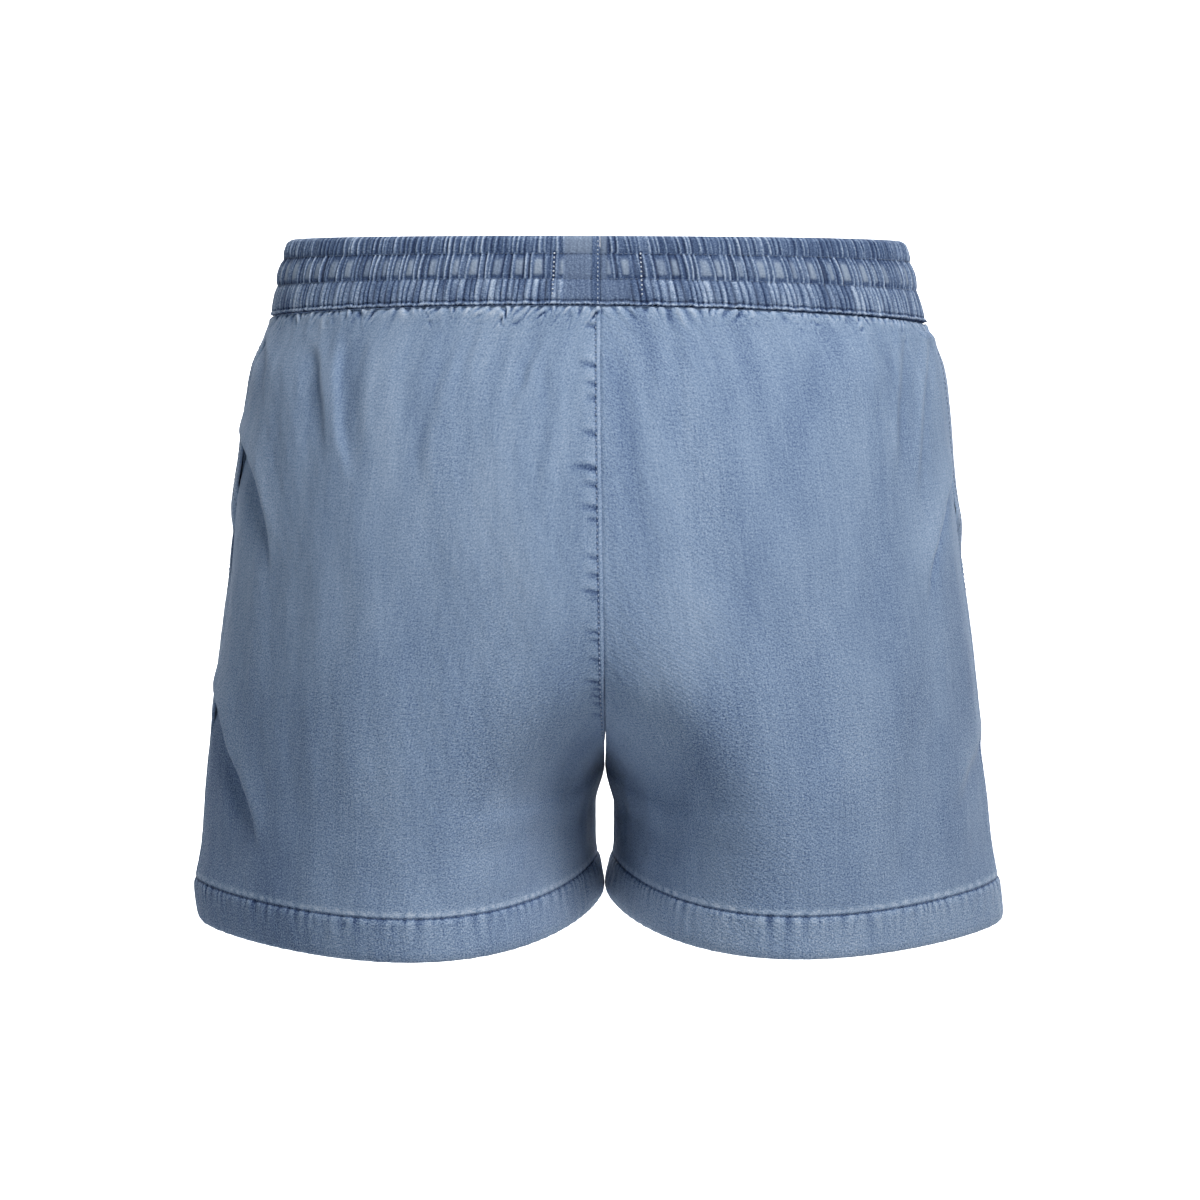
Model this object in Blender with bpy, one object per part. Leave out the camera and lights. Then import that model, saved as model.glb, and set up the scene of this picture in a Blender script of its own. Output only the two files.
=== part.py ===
"""Pull-on lyocell shorts in their worn, filled-out shape: four leg panels with turned-up hems,
a gathered waistband in three channels, and a bag of two layers behind each side-seam pocket.

Metres, +Z up. The front faces -Y and the wearer's left side is at +X.
The origin is the centre of the waistband, where a wearer holds the shorts up.
"""

import math

import bmesh
import bpy
import numpy as np

MM = 0.001
LEFT, RIGHT = 1, -1
BACK, FRONT = 1, -1

# Cloth, in millimetres.
WALL = 1.2
HEM_WALL = 2.6
SEAM_GAP = 0.3

# The worn outline, in millimetres. left and right are half widths from the middle plane,
# back and front are depths from it.
OUTLINE_COLUMNS = ("height", "left", "right", "back", "front")
OUTLINE = (
    (28.0, 142.0, 139.0, 97.5, 99.0),
    (16.0, 144.6, 141.2, 98.8, 100.5),
    (0.0, 148.8, 145.6, 101.2, 102.8),
    (-19.0, 152.8, 150.2, 104.6, 105.2),
    (-29.0, 156.6, 154.8, 107.4, 107.2),
    (-40.0, 161.6, 158.8, 110.6, 109.4),
    (-59.0, 165.4, 161.9, 115.4, 112.2),
    (-96.0, 169.8, 165.3, 122.4, 115.2),
    (-134.0, 172.9, 169.6, 125.6, 116.2),
    (-172.0, 177.9, 175.0, 121.4, 114.6),
    (-210.0, 183.4, 179.3, 113.6, 111.6),
    (-239.0, 186.1, 182.2, 108.8, 109.0),
    (-270.0, 188.8, 185.6, 105.6, 106.4),
    (-287.0, 191.6, 188.8, 104.8, 105.4),
    (-305.0, 190.0, 191.0, 104.0, 104.8),
)

# Crotch and legs.
CROTCH_HEIGHT = -238.0
CROTCH_FORWARD = 45.0
MIDDLE_SHIFT = -2.3
RISE_BEND = {BACK: 112.0, FRONT: 100.0}
CROTCH_CURVE = 1.7
LEG_EDGE_SHARPNESS = 0.30
LEG_FULLNESS_INWARD = {BACK: 0.36, FRONT: 0.05}
LEG_BACK_DIFFERENCE = 3.5
LEG_DIFFERENCE_STARTS = -225.0
LEG_GAP_WIDEST = 4.2
LEG_GAP_AT_HEM = 0.4
LEG_GAP_OPENS_IN = 20.0
LEG_GAP_CLOSES = (-276.0, -301.0)
MIDDLE_LEANS_FROM = -20.0
SEAM_BEHIND_SIDE = math.radians(8.0)

# Hem: turned up to the inside, stitched along its top.
HEM_HEIGHT = -305.0
HEM_DEPTH = 20.5
HEM_STEP = 0.8
INSEAM_LIFT = 4.0

# Waistband: its top and bottom edges are lower in front than behind.
BAND_TOP = {"side": 15.4, "back_to_front": 8.9, "bow": -0.5, "left_to_right": 0.4}
BAND_BOTTOM = {"side": -21.3, "back_to_front": 11.5, "bow": 2.8, "left_to_right": 1.6}
BAND_WALL = 2.2
BAND_TILT_FADES = -140.0
FLAT_PATCH_START = -2.0
FLAT_PATCH_END = 16.0
BAND_JOIN_GAP = 0.3

# Gathers: a top and a dip each. Their heights and places vary in slow and quick waves from one to the next.
GATHERS = 172
GATHER_TOP = 1.0
GATHER_DIP = -0.7
GATHER_SWAY = 0.18
SWAY_WAVES = {"along": 0.83, "by_row": 1.3}
UNEVEN_MEAN = 0.8
UNEVEN_RANGE = 0.35
UNEVEN_WAVES = {"quick": 1.9, "by_row": 2.1, "slow": 0.37}

# Rows of the gathered band: how far down, how far its base stands out, how high its gathers are.
BAND_ROW_COLUMNS = ("down", "stand", "gather")
BAND_ROWS = (
    (0.00, -0.5, 0.45),
    (0.12, 0.3, 0.85),
    (0.25, -0.6, 0.35),
    (0.43, 0.4, 1.00),
    (0.61, -0.6, 0.35),
    (0.80, 0.3, 0.85),
    (1.00, 0.1, 0.50),
)

# Rows of a panel, in height, with more of them where the rise bends under at the crotch.
UPPER_ROWS = (-21.3, -29.0, -40.0, -54.0, -70.0, -88.0, -106.0, -124.0, -141.0, -158.0, -175.0, -191.0)
CROTCH_ROWS = (-206.0, -218.0, -227.0, -233.0, -236.4, CROTCH_HEIGHT)
LEG_ROWS = (-244.0, -253.0, -263.0, -274.0)
PANEL_COLUMNS = 20
CLOSER_AT_EDGES = 0.09
ARC_SAMPLES = 721
ARC_PAST_SEAM = math.radians(15.0)

# Side-seam pockets: the mouth gapes most near its lower end, and a flat bag hangs behind it.
MOUTH_TOP = -35.0
MOUTH_BOTTOM = -148.0
MOUTH_LOW = 3.0
MOUTH_GAPE = 2.8
MOUTH_LIFT = 0.8
MOUTH_LIFT_REACH = 8.0
BAG_TOP = -38.0
BAG_BOTTOM = -214.0
BAG_WIDTH = 118.0
BAG_CLEARANCE_AT_SEAM = 0.5
BAG_CLEARANCE_INSIDE = 3.4
BAG_HANGS_FREE_AT = 26.0
BAG_WALL = 1.0
BAG_START = 2.8
BAG_BEHIND_BACK = 5.0
BAG_ROWS = 10
BAG_COLUMNS = 9
BAG_NARROWEST = 0.25
BAG_ENDS = (0.04, 0.96)
BAG_ROUNDNESS = 3

# The largest folds. from_edge is the distance along the cloth from the side seam.
# depth is how far the cloth sinks along the fold, and lip how far it swells beside it.
FOLD_COLUMNS = ("face", "side", "from_edge_1", "height_1", "from_edge_2", "height_2", "width", "depth", "lip")
FOLDS = (
    (BACK, LEFT, 4.0, -80.0, 44.0, -122.0, 6.0, 2.6, 1.6),
    (BACK, LEFT, 2.0, -202.0, 54.0, -254.0, 7.0, 2.8, 1.6),
    (BACK, LEFT, 34.0, -36.0, 72.0, -66.0, 6.0, 1.6, 1.0),
    (BACK, LEFT, 70.0, -38.0, 92.0, -84.0, 7.0, 1.6, 0.8),
    (BACK, LEFT, 110.0, -30.0, 121.0, -88.0, 8.0, 1.4, 1.0),
    (BACK, LEFT, 178.0, -44.0, 185.0, -94.0, 9.0, 1.0, 0.6),
    (BACK, RIGHT, 12.0, -96.0, 42.0, -130.0, 6.0, 2.4, 1.4),
    (BACK, RIGHT, 2.0, -218.0, 40.0, -240.0, 8.0, 2.2, 1.2),
    (BACK, RIGHT, 46.0, -34.0, 60.0, -84.0, 8.0, 1.3, 1.0),
    (BACK, RIGHT, 127.0, -30.0, 137.0, -80.0, 9.0, 1.2, 0.8),
    (FRONT, LEFT, 22.0, -118.0, 58.0, -176.0, 8.0, 2.0, 1.2),
    (FRONT, LEFT, 40.0, -34.0, 66.0, -84.0, 8.0, 1.5, 1.0),
    (FRONT, LEFT, 102.0, -34.0, 94.0, -100.0, 9.0, 1.4, 0.8),
    (FRONT, RIGHT, 24.0, -132.0, 62.0, -190.0, 8.0, 2.0, 1.2),
    (FRONT, RIGHT, 46.0, -34.0, 74.0, -90.0, 8.0, 1.5, 1.0),
    (FRONT, RIGHT, 118.0, -34.0, 110.0, -104.0, 9.0, 1.4, 0.8),
)
FOLD_FADE_AT_EDGE = 12.0
FOLD_STARTS = (-0.15, 0.3)
FOLD_ENDS = (1.15, 0.6)
LIP_OFFSET = 1.6

# Finishes: colour as linear red, green, blue.
CLOTH_COLOUR = (0.185, 0.250, 0.355)
BAND_COLOUR = (0.150, 0.208, 0.300)
BAG_COLOUR = (0.240, 0.300, 0.400)
CLOTH_ROUGHNESS = 0.85


def column(table, names, name, heights):
    """One column of a table at any height, on a smooth curve through its rows."""
    rows = np.array(table, float)[::-1]
    at = rows[:, 0]
    values = rows[:, names.index(name)]
    slopes = np.gradient(values, at)
    wanted = np.clip(heights, at[0], at[-1])
    i = np.clip(np.searchsorted(at, wanted) - 1, 0, len(at) - 2)
    step = at[i + 1] - at[i]
    t = (wanted - at[i]) / step
    start = values[i] * (1 + 2 * t) * (1 - t) ** 2 + slopes[i] * step * t * (1 - t) ** 2
    end = values[i + 1] * t**2 * (3 - 2 * t) - slopes[i + 1] * step * t**2 * (1 - t)
    return start + end


def outline(name, heights):
    return column(OUTLINE, OUTLINE_COLUMNS, name, heights)


def ramp(value, start, end):
    """0 at start, 1 at end, with a soft turn at each."""
    t = np.clip((value - start) / (end - start), 0.0, 1.0)
    return t * t * (3 - 2 * t)


def edge_line(line, across, deep):
    """Height of an edge of the waistband: across is 1 at the wearer's left, deep is 1 at the back."""
    tilt = line["back_to_front"] * deep + line["bow"] * deep**2
    return line["side"] + tilt + line["left_to_right"] * across


def roll(face, heights):
    """0 where a section stops at the middle plane and 1 where it is a whole leg loop, with soft turns."""
    up = np.clip((heights - CROTCH_HEIGHT) / RISE_BEND[face], 0.0, 1.0)
    return 1 - np.sin(up * math.pi / 2) ** CROTCH_CURVE


def leg_gap(heights):
    """Distance from the middle plane to the inner face of a leg, or to the rise seam's edge."""
    opening = ramp(heights, CROTCH_HEIGHT, CROTCH_HEIGHT - LEG_GAP_OPENS_IN)
    closing = ramp(heights, *LEG_GAP_CLOSES)
    below = opening * (LEG_GAP_WIDEST + (LEG_GAP_AT_HEM - LEG_GAP_WIDEST) * closing)
    return np.maximum(below, SEAM_GAP / 2)


def middle(heights):
    """The centre seam leans a little to the wearer's right on its way down."""
    return MIDDLE_SHIFT * ramp(heights, MIDDLE_LEANS_FROM, CROTCH_HEIGHT)


def tube(side, angle, heights):
    """A point on the outside of one half of the shorts.

    angle runs from 0 at the widest point of the side to plus 90 degrees at the back and
    minus 90 at the front, and on to 180 at the inside of a leg. A section is an ellipse
    with one end on the middle plane. Towards the crotch its centre moves out by roll, the
    ends get sharper, and its inner end moves forward, until it is a whole leg loop.
    """
    reach = outline("left" if side == LEFT else "right", heights) - side * middle(heights)
    gap = leg_gap(heights)
    behind = angle >= 0
    k = np.where(behind, roll(BACK, heights), roll(FRONT, heights))
    radius = (reach - gap) / (1 + k)
    x = middle(heights) + side * (gap + radius * (k + np.cos(angle)))
    forward = -CROTCH_FORWARD * k
    swing = forward * (1 - np.cos(angle)) / 2
    fuller = side * LEG_BACK_DIFFERENCE * ramp(heights, LEG_DIFFERENCE_STARTS, HEM_HEIGHT)
    depth_back = outline("back", heights) + fuller - forward / 2
    depth_front = outline("front", heights) + forward / 2
    depth = np.where(behind, depth_back, -depth_front)
    inward = np.where(behind, LEG_FULLNESS_INWARD[BACK], LEG_FULLNESS_INWARD[FRONT])
    round_off = np.abs(np.sin(angle)) ** (1 + LEG_EDGE_SHARPNESS * k)
    y = swing + depth * round_off * (1 - inward * k * np.cos(angle))
    lift = INSEAM_LIFT * k * ramp(heights, CROTCH_HEIGHT, HEM_HEIGHT) * ((1 - np.cos(angle)) / 2) ** 2
    return np.stack([x, y, heights + lift], axis=-1)


def angles_along(face, side, height, distances):
    """Angles at given distances along the cloth from the side seam, on one height's section."""
    start = SEAM_BEHIND_SIDE - face * ARC_PAST_SEAM
    last = math.acos(max(-1.0, -float(roll(face, height))))
    angles = np.linspace(start, face * last, ARC_SAMPLES)
    points = tube(side, angles, np.full(angles.shape, float(height)))
    travelled = np.concatenate([[0.0], np.cumsum(np.linalg.norm(np.diff(points, axis=0), axis=1))])
    travelled = travelled - np.interp(SEAM_BEHIND_SIDE, angles[::face], travelled[::face])
    return np.interp(distances, travelled, angles), travelled[-1]


def tilted(angles, side, rows):
    """Heights of a row, which follows the waistband's lower edge at the top and is level low down."""
    at_side = BAND_BOTTOM["side"]
    shift = edge_line(BAND_BOTTOM, side * np.cos(angles), np.sin(angles)) - at_side
    return rows + shift * ramp(rows, BAND_TILT_FADES, at_side)


def mouth_shape(heights):
    """0 at the ends of the pocket mouth and 1 where it gapes most."""
    down = np.clip((MOUTH_TOP - heights) / (MOUTH_TOP - MOUTH_BOTTOM), 0.0, 1.0)
    return np.sin(math.pi * down**MOUTH_LOW) ** 2


def fold_height(face, side, from_edge, heights, length):
    """How far the folds push the cloth out: a soft trough along each fold and a swell on its centre side."""
    total = np.zeros(from_edge.shape)
    for row in FOLDS:
        fold = dict(zip(FOLD_COLUMNS, row))
        if (fold["face"], fold["side"]) != (face, side):
            continue
        start = np.array([fold["from_edge_1"], fold["height_1"]])
        run = np.array([fold["from_edge_2"], fold["height_2"]]) - start
        reach = np.linalg.norm(run)
        along = ((from_edge - start[0]) * run[0] + (heights - start[1]) * run[1]) / reach**2
        off = ((heights - start[1]) * run[0] - (from_edge - start[0]) * run[1]) / reach
        fade = ramp(along, *FOLD_STARTS) * ramp(along, *FOLD_ENDS)
        trough = -fold["depth"] * np.exp(-((off / fold["width"]) ** 2))
        swell = fold["lip"] * np.exp(-((off / fold["width"] - LIP_OFFSET) ** 2))
        total += (trough + swell) * fade
    edges = ramp(from_edge, 0.0, FOLD_FADE_AT_EDGE) * ramp(length - from_edge, 0.0, FOLD_FADE_AT_EDGE)
    return total * edges


def smooth_cloth(face, side, rows, distances):
    """Points on the outside of a panel before its folds, and the directions out of it.

    They are worked out by row and by distance along the cloth from the side seam.
    """
    angles = np.array([angles_along(face, side, row, far)[0] for row, far in zip(rows, distances)])
    heights = tilted(angles, side, rows[:, None])
    points = tube(side, angles, heights)
    small = 1e-3
    round_step = tube(side, angles + small, heights) - tube(side, angles - small, heights)
    down_step = tube(side, angles, heights - small) - tube(side, angles, heights + small)
    outward = np.cross(down_step, round_step) * side
    return points, outward / np.linalg.norm(outward, axis=-1, keepdims=True)


def folded_cloth(face, side, rows, distances, lengths):
    """The smooth cloth with its folds and, beside the pocket mouth, the back edge lifted."""
    points, outward = smooth_cloth(face, side, rows, distances)
    push = fold_height(face, side, distances, rows[:, None] + 0 * distances, lengths[:, None])
    if face == BACK:
        push = push + MOUTH_LIFT * mouth_shape(rows[:, None]) * np.exp(-np.abs(distances) / MOUTH_LIFT_REACH)
    return points + outward * push[..., None], outward


def arc_lengths(face, side, rows):
    """Length of cloth from the side seam to the centre seam or inseam, for each row."""
    return np.array([angles_along(face, side, row, 0.0)[1] for row in rows])


def solid_wall(name, outer, inner, material):
    """A closed wall between two grids of points, given in millimetres.

    The grids have the same columns. The inner one may have fewer rows, and then each end is one flat face.
    """

    def strip(here, there):
        """Triangles between two lines of points, with the same diagonal in every cell."""
        first = np.stack([here[:-1], here[1:], there[1:]], axis=-1)
        second = np.stack([here[:-1], there[1:], there[:-1]], axis=-1)
        return np.concatenate([first, second]).tolist()

    out = np.arange(outer.shape[0] * outer.shape[1]).reshape(outer.shape[:2])
    back = out.size + np.arange(inner.shape[0] * inner.shape[1]).reshape(inner.shape[:2])
    faces = []
    for grid in (out, back):
        for upper, lower in zip(grid[:-1], grid[1:]):
            faces += strip(upper, lower)
    faces += strip(out[0], back[0]) + strip(out[-1], back[-1])
    for end in (0, -1):
        if len(out) == len(back):
            faces += strip(out[:, end], back[:, end])
        else:
            faces.append(np.concatenate([out[:, end], back[::-1, end]]).tolist())
    points = np.concatenate([outer.reshape(-1, 3), inner.reshape(-1, 3)]) * MM
    mesh = bpy.data.meshes.new(name)
    mesh.from_pydata(points.tolist(), [], faces)
    shaped = bmesh.new()
    shaped.from_mesh(mesh)
    bmesh.ops.recalc_face_normals(shaped, faces=shaped.faces)
    shaped.to_mesh(mesh)
    shaped.free()
    mesh.materials.append(material)
    mesh.shade_smooth()
    mesh.set_sharp_from_angle(angle=math.radians(50))
    obj = bpy.data.objects.new(name, mesh)
    bpy.context.scene.collection.objects.link(obj)
    return obj


def cloth_material(name, colour):
    material = bpy.data.materials.new(name)
    material.use_nodes = True
    shader = material.node_tree.nodes["Principled BSDF"]
    shader.inputs["Base Color"].default_value = (*colour, 1.0)
    shader.inputs["Roughness"].default_value = CLOTH_ROUGHNESS
    shader.inputs["Metallic"].default_value = 0.0
    return material


def panel(name, face, side, material):
    """One leg panel from waist seam to hem, with its hem folded double on the inside."""
    stitch = HEM_HEIGHT + HEM_DEPTH
    rows = np.array(UPPER_ROWS + CROTCH_ROWS + LEG_ROWS + (stitch, stitch - HEM_STEP, HEM_HEIGHT))
    rows[0] -= SEAM_GAP / 2
    lengths = arc_lengths(face, side, rows)
    gape = MOUTH_GAPE * mouth_shape(rows) if face == FRONT else 0 * rows
    first = SEAM_GAP / 2 + gape
    last = lengths - np.where(rows <= CROTCH_HEIGHT, SEAM_GAP / 2, 0.0)
    even = np.linspace(0.0, 1.0, PANEL_COLUMNS)
    spread = even - CLOSER_AT_EDGES * np.sin(2 * math.pi * even)
    distances = first[:, None] + (last - first)[:, None] * spread
    outer, outward = folded_cloth(face, side, rows, distances, lengths)
    wall = np.where(rows < stitch, HEM_WALL, WALL)
    inner = outer - outward * wall[:, None, None]
    return solid_wall(name, outer, inner, material)


def ring(turn, heights):
    """A point on the waistband's middle surface and the direction out. turn is 90 degrees at the back."""

    def at(turn, heights):
        across = np.cos(turn)
        deep = np.sin(turn)
        width = np.where(across >= 0, outline("left", heights), outline("right", heights))
        depth = np.where(deep >= 0, outline("back", heights), outline("front", heights))
        return np.stack([across * width, deep * depth, heights + 0 * turn], axis=-1)

    small = 1e-3
    outward = np.cross(at(turn + small, heights) - at(turn - small, heights), (0.0, 0.0, 1.0))
    return at(turn, heights), outward / np.linalg.norm(outward, axis=-1, keepdims=True)


def gather_turns():
    """Where each gather's top and dip lies around the band, evenly along the cloth from the centre back."""
    turns = math.pi / 2 + np.linspace(0.0, -2 * math.pi, 4 * ARC_SAMPLES)
    points = ring(turns, np.zeros(turns.shape))[0]
    travelled = np.concatenate([[0.0], np.cumsum(np.linalg.norm(np.diff(points, axis=0), axis=1))])
    whole = travelled[-1]
    places = np.linspace(FLAT_PATCH_END, whole + FLAT_PATCH_START, 2 * GATHERS + 1)
    ends = (BAND_JOIN_GAP / 2, whole - BAND_JOIN_GAP / 2)
    places = np.concatenate([[ends[0]], places, [ends[1]]])
    return np.interp(places, travelled, turns)


def waistband(name, material):
    """A strip joined at the centre back, gathered on the outside and plain inside."""
    turns = gather_turns()
    index = np.arange(len(turns))
    gathered = (index > 1) & (index < len(turns) - 2)
    upper = edge_line(BAND_TOP, np.cos(turns), np.sin(turns))
    lower = edge_line(BAND_BOTTOM, np.cos(turns), np.sin(turns)) + SEAM_GAP / 2
    pitch = 2 * math.pi / GATHERS
    outer, inner = [], []
    for number, values in enumerate(BAND_ROWS):
        row = dict(zip(BAND_ROW_COLUMNS, values))
        heights = upper + (lower - upper) * row["down"]
        quick = np.sin(UNEVEN_WAVES["quick"] * index + UNEVEN_WAVES["by_row"] * number)
        uneven = UNEVEN_MEAN + UNEVEN_RANGE * quick * np.sin(UNEVEN_WAVES["slow"] * index)
        wave = np.where(index % 2 == 0, GATHER_TOP, GATHER_DIP) * row["gather"] * uneven
        sway = GATHER_SWAY * pitch * np.sin(SWAY_WAVES["along"] * index + SWAY_WAVES["by_row"] * number)
        points, outward = ring(turns + np.where(gathered, sway, 0.0), heights)
        push = row["stand"] + np.where(gathered, wave, 0.0)
        outer.append(points + outward * push[:, None])
        if number in (0, len(BAND_ROWS) - 1):
            plain, outward = ring(turns, heights)
            inner.append(plain - outward * BAND_WALL)
    return solid_wall(name, np.array(outer), np.array(inner), material)


def pocket_layer(name, side, layer, material):
    """One layer of a pocket bag, a flat sheet that follows the inside of the front panel.

    Its width falls off at the top and bottom in a rounded curve, from the full width to a part of it.
    """
    even = (1 - np.cos(np.linspace(0.0, math.pi, BAG_ROWS))) / 2
    rows = BAG_TOP + (BAG_BOTTOM - BAG_TOP) * even
    from_middle = 2 * (BAG_ENDS[0] + (BAG_ENDS[1] - BAG_ENDS[0]) * even) - 1
    full = np.sqrt(1 - np.abs(from_middle) ** BAG_ROUNDNESS)
    widths = BAG_WIDTH * (BAG_NARROWEST + (1 - BAG_NARROWEST) * full)
    across = np.linspace(0.0, 1.0, BAG_COLUMNS)
    distances = BAG_START + (widths - BAG_START)[:, None] * across
    if layer == "inner":
        behind_back = np.full((BAG_ROWS, 1), -BAG_BEHIND_BACK)
        distances = np.concatenate([behind_back, distances], axis=1)
    points, outward = smooth_cloth(FRONT, side, rows, distances)
    free = ramp(distances, 0.0, BAG_HANGS_FREE_AT)
    depth = WALL + BAG_CLEARANCE_AT_SEAM + (BAG_CLEARANCE_INSIDE - BAG_CLEARANCE_AT_SEAM) * free
    if layer == "inner":
        depth += BAG_WALL + SEAM_GAP
    depth = depth[..., None]
    return solid_wall(name, points - outward * depth, points - outward * (depth + BAG_WALL), material)


def main():
    for obj in list(bpy.data.objects):
        bpy.data.objects.remove(obj)
    cloth_finish = cloth_material("lyocell_twill", CLOTH_COLOUR)
    band_finish = cloth_material("gathered_lyocell", BAND_COLOUR)
    bag_finish = cloth_material("pocket_cloth", BAG_COLOUR)
    waistband("waistband", band_finish)
    for side, side_name in ((LEFT, "left"), (RIGHT, "right")):
        panel("back_" + side_name, BACK, side, cloth_finish)
        panel("front_" + side_name, FRONT, side, cloth_finish)
        for layer in ("outer", "inner"):
            pocket_layer("pocket_" + layer + "_" + side_name, side, layer, bag_finish)


main()
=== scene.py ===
"""Pull-on lyocell shorts as a shop photographs them: worn shape, no wearer, seen from behind.

Shapes are worked out in millimetres and put into metre meshes, +Z up. The front faces -Y and
the wearer's left side is at +X. Cloth is a closed thin shell: a fine outer surface, a plainer
inner one, and a narrow rim. Its stitches are short raised threads laid on the finished cloth.
"""

import math

import bpy
import numpy as np
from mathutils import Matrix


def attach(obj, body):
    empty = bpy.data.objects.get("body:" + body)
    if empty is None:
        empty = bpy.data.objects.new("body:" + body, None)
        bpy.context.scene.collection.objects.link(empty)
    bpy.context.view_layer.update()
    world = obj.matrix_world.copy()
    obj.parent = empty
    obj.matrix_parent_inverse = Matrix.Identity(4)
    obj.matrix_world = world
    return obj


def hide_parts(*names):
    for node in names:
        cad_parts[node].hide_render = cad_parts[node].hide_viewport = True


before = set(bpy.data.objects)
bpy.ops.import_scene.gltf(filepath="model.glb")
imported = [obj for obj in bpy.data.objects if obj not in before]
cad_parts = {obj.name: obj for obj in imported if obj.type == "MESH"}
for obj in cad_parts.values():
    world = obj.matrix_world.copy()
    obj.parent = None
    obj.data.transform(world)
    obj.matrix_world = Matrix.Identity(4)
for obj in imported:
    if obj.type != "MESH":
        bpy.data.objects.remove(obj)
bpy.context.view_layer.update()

MM = 0.001
LEFT, RIGHT = 1, -1
BACK, FRONT = 1, -1

# The worn outline and the cut, in millimetres, as in the part's own source.
OUTLINE_COLUMNS = ("height", "left", "right", "back", "front")
OUTLINE = (
    (28.0, 142.0, 139.0, 97.5, 99.0),
    (16.0, 144.6, 141.2, 98.8, 100.5),
    (0.0, 148.8, 145.6, 101.2, 102.8),
    (-19.0, 152.8, 150.2, 104.6, 105.2),
    (-29.0, 156.6, 154.8, 107.4, 107.2),
    (-40.0, 161.6, 158.8, 110.6, 109.4),
    (-59.0, 165.4, 161.9, 115.4, 112.2),
    (-96.0, 169.8, 165.3, 122.4, 115.2),
    (-134.0, 172.9, 169.6, 125.6, 116.2),
    (-172.0, 177.9, 175.0, 121.4, 114.6),
    (-210.0, 183.4, 179.3, 113.6, 111.6),
    (-239.0, 186.1, 182.2, 108.8, 109.0),
    (-270.0, 188.8, 185.6, 105.6, 106.4),
    (-287.0, 191.6, 188.8, 104.8, 105.4),
    (-305.0, 190.0, 191.0, 104.0, 104.8),
)
CROTCH_HEIGHT = -238.0
CROTCH_FORWARD = 45.0
MIDDLE_SHIFT = -2.3
MIDDLE_LEANS_FROM = -20.0
RISE_BEND = {BACK: 112.0, FRONT: 100.0}
CROTCH_CURVE = 1.7
LEG_EDGE_SHARPNESS = 0.30
LEG_FULLNESS_INWARD = {BACK: 0.36, FRONT: 0.05}
LEG_BACK_DIFFERENCE = 3.5
LEG_DIFFERENCE_STARTS = -225.0
LEG_GAP_WIDEST = 4.2
LEG_GAP_AT_HEM = 0.4
LEG_GAP_OPENS_IN = 20.0
LEG_GAP_CLOSES = (-276.0, -301.0)
SEAM_BEHIND_SIDE = math.radians(8.0)
INSEAM_LIFT = 4.0
HEM_HEIGHT = -305.0
HEM_DEPTH = 20.5
STITCH_HEIGHT = HEM_HEIGHT + HEM_DEPTH
WALL = 1.2
HEM_WALL = 2.6
SEAM_GAP = 0.08
ARC_SAMPLES = 721
ARC_PAST_SEAM = math.radians(15.0)
ARC_PAST_MIDDLE = math.radians(2.5)
# Along the rise the left panels run on under the right ones, as turnings do.
TUCK = 2.4
TUCK_DEPTH = 1.5
TUCK_FADES = 6.0

BAND_TOP = {"side": 15.4, "back_to_front": 8.9, "bow": -0.5, "left_to_right": 0.4}
BAND_BOTTOM = {"side": -21.3, "back_to_front": 11.5, "bow": 2.8, "left_to_right": 1.6}
BAND_TILT_FADES = -140.0
BAND_WALL = 2.2
BAND_HEIGHT = 37.0

MOUTH_TOP = -35.0
MOUTH_BOTTOM = -148.0
MOUTH_LOW = 3.0
MOUTH_GAPE = 2.8
MOUTH_LIFT = {BACK: 0.3, FRONT: 1.2}
MOUTH_LIFT_REACH = 8.0
BAG_TOP = -38.0
BAG_BOTTOM = -214.0
BAG_WIDTH = 118.0
BAG_CLEARANCE_AT_SEAM = 0.5
BAG_CLEARANCE_INSIDE = 3.4
BAG_HANGS_FREE_AT = 26.0
BAG_WALL = 1.0
BAG_START = 2.8
BAG_BEHIND_BACK = 5.0
BAG_NARROWEST = 0.25
BAG_ENDS = (0.04, 0.96)
BAG_ROUNDNESS = 3

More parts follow.
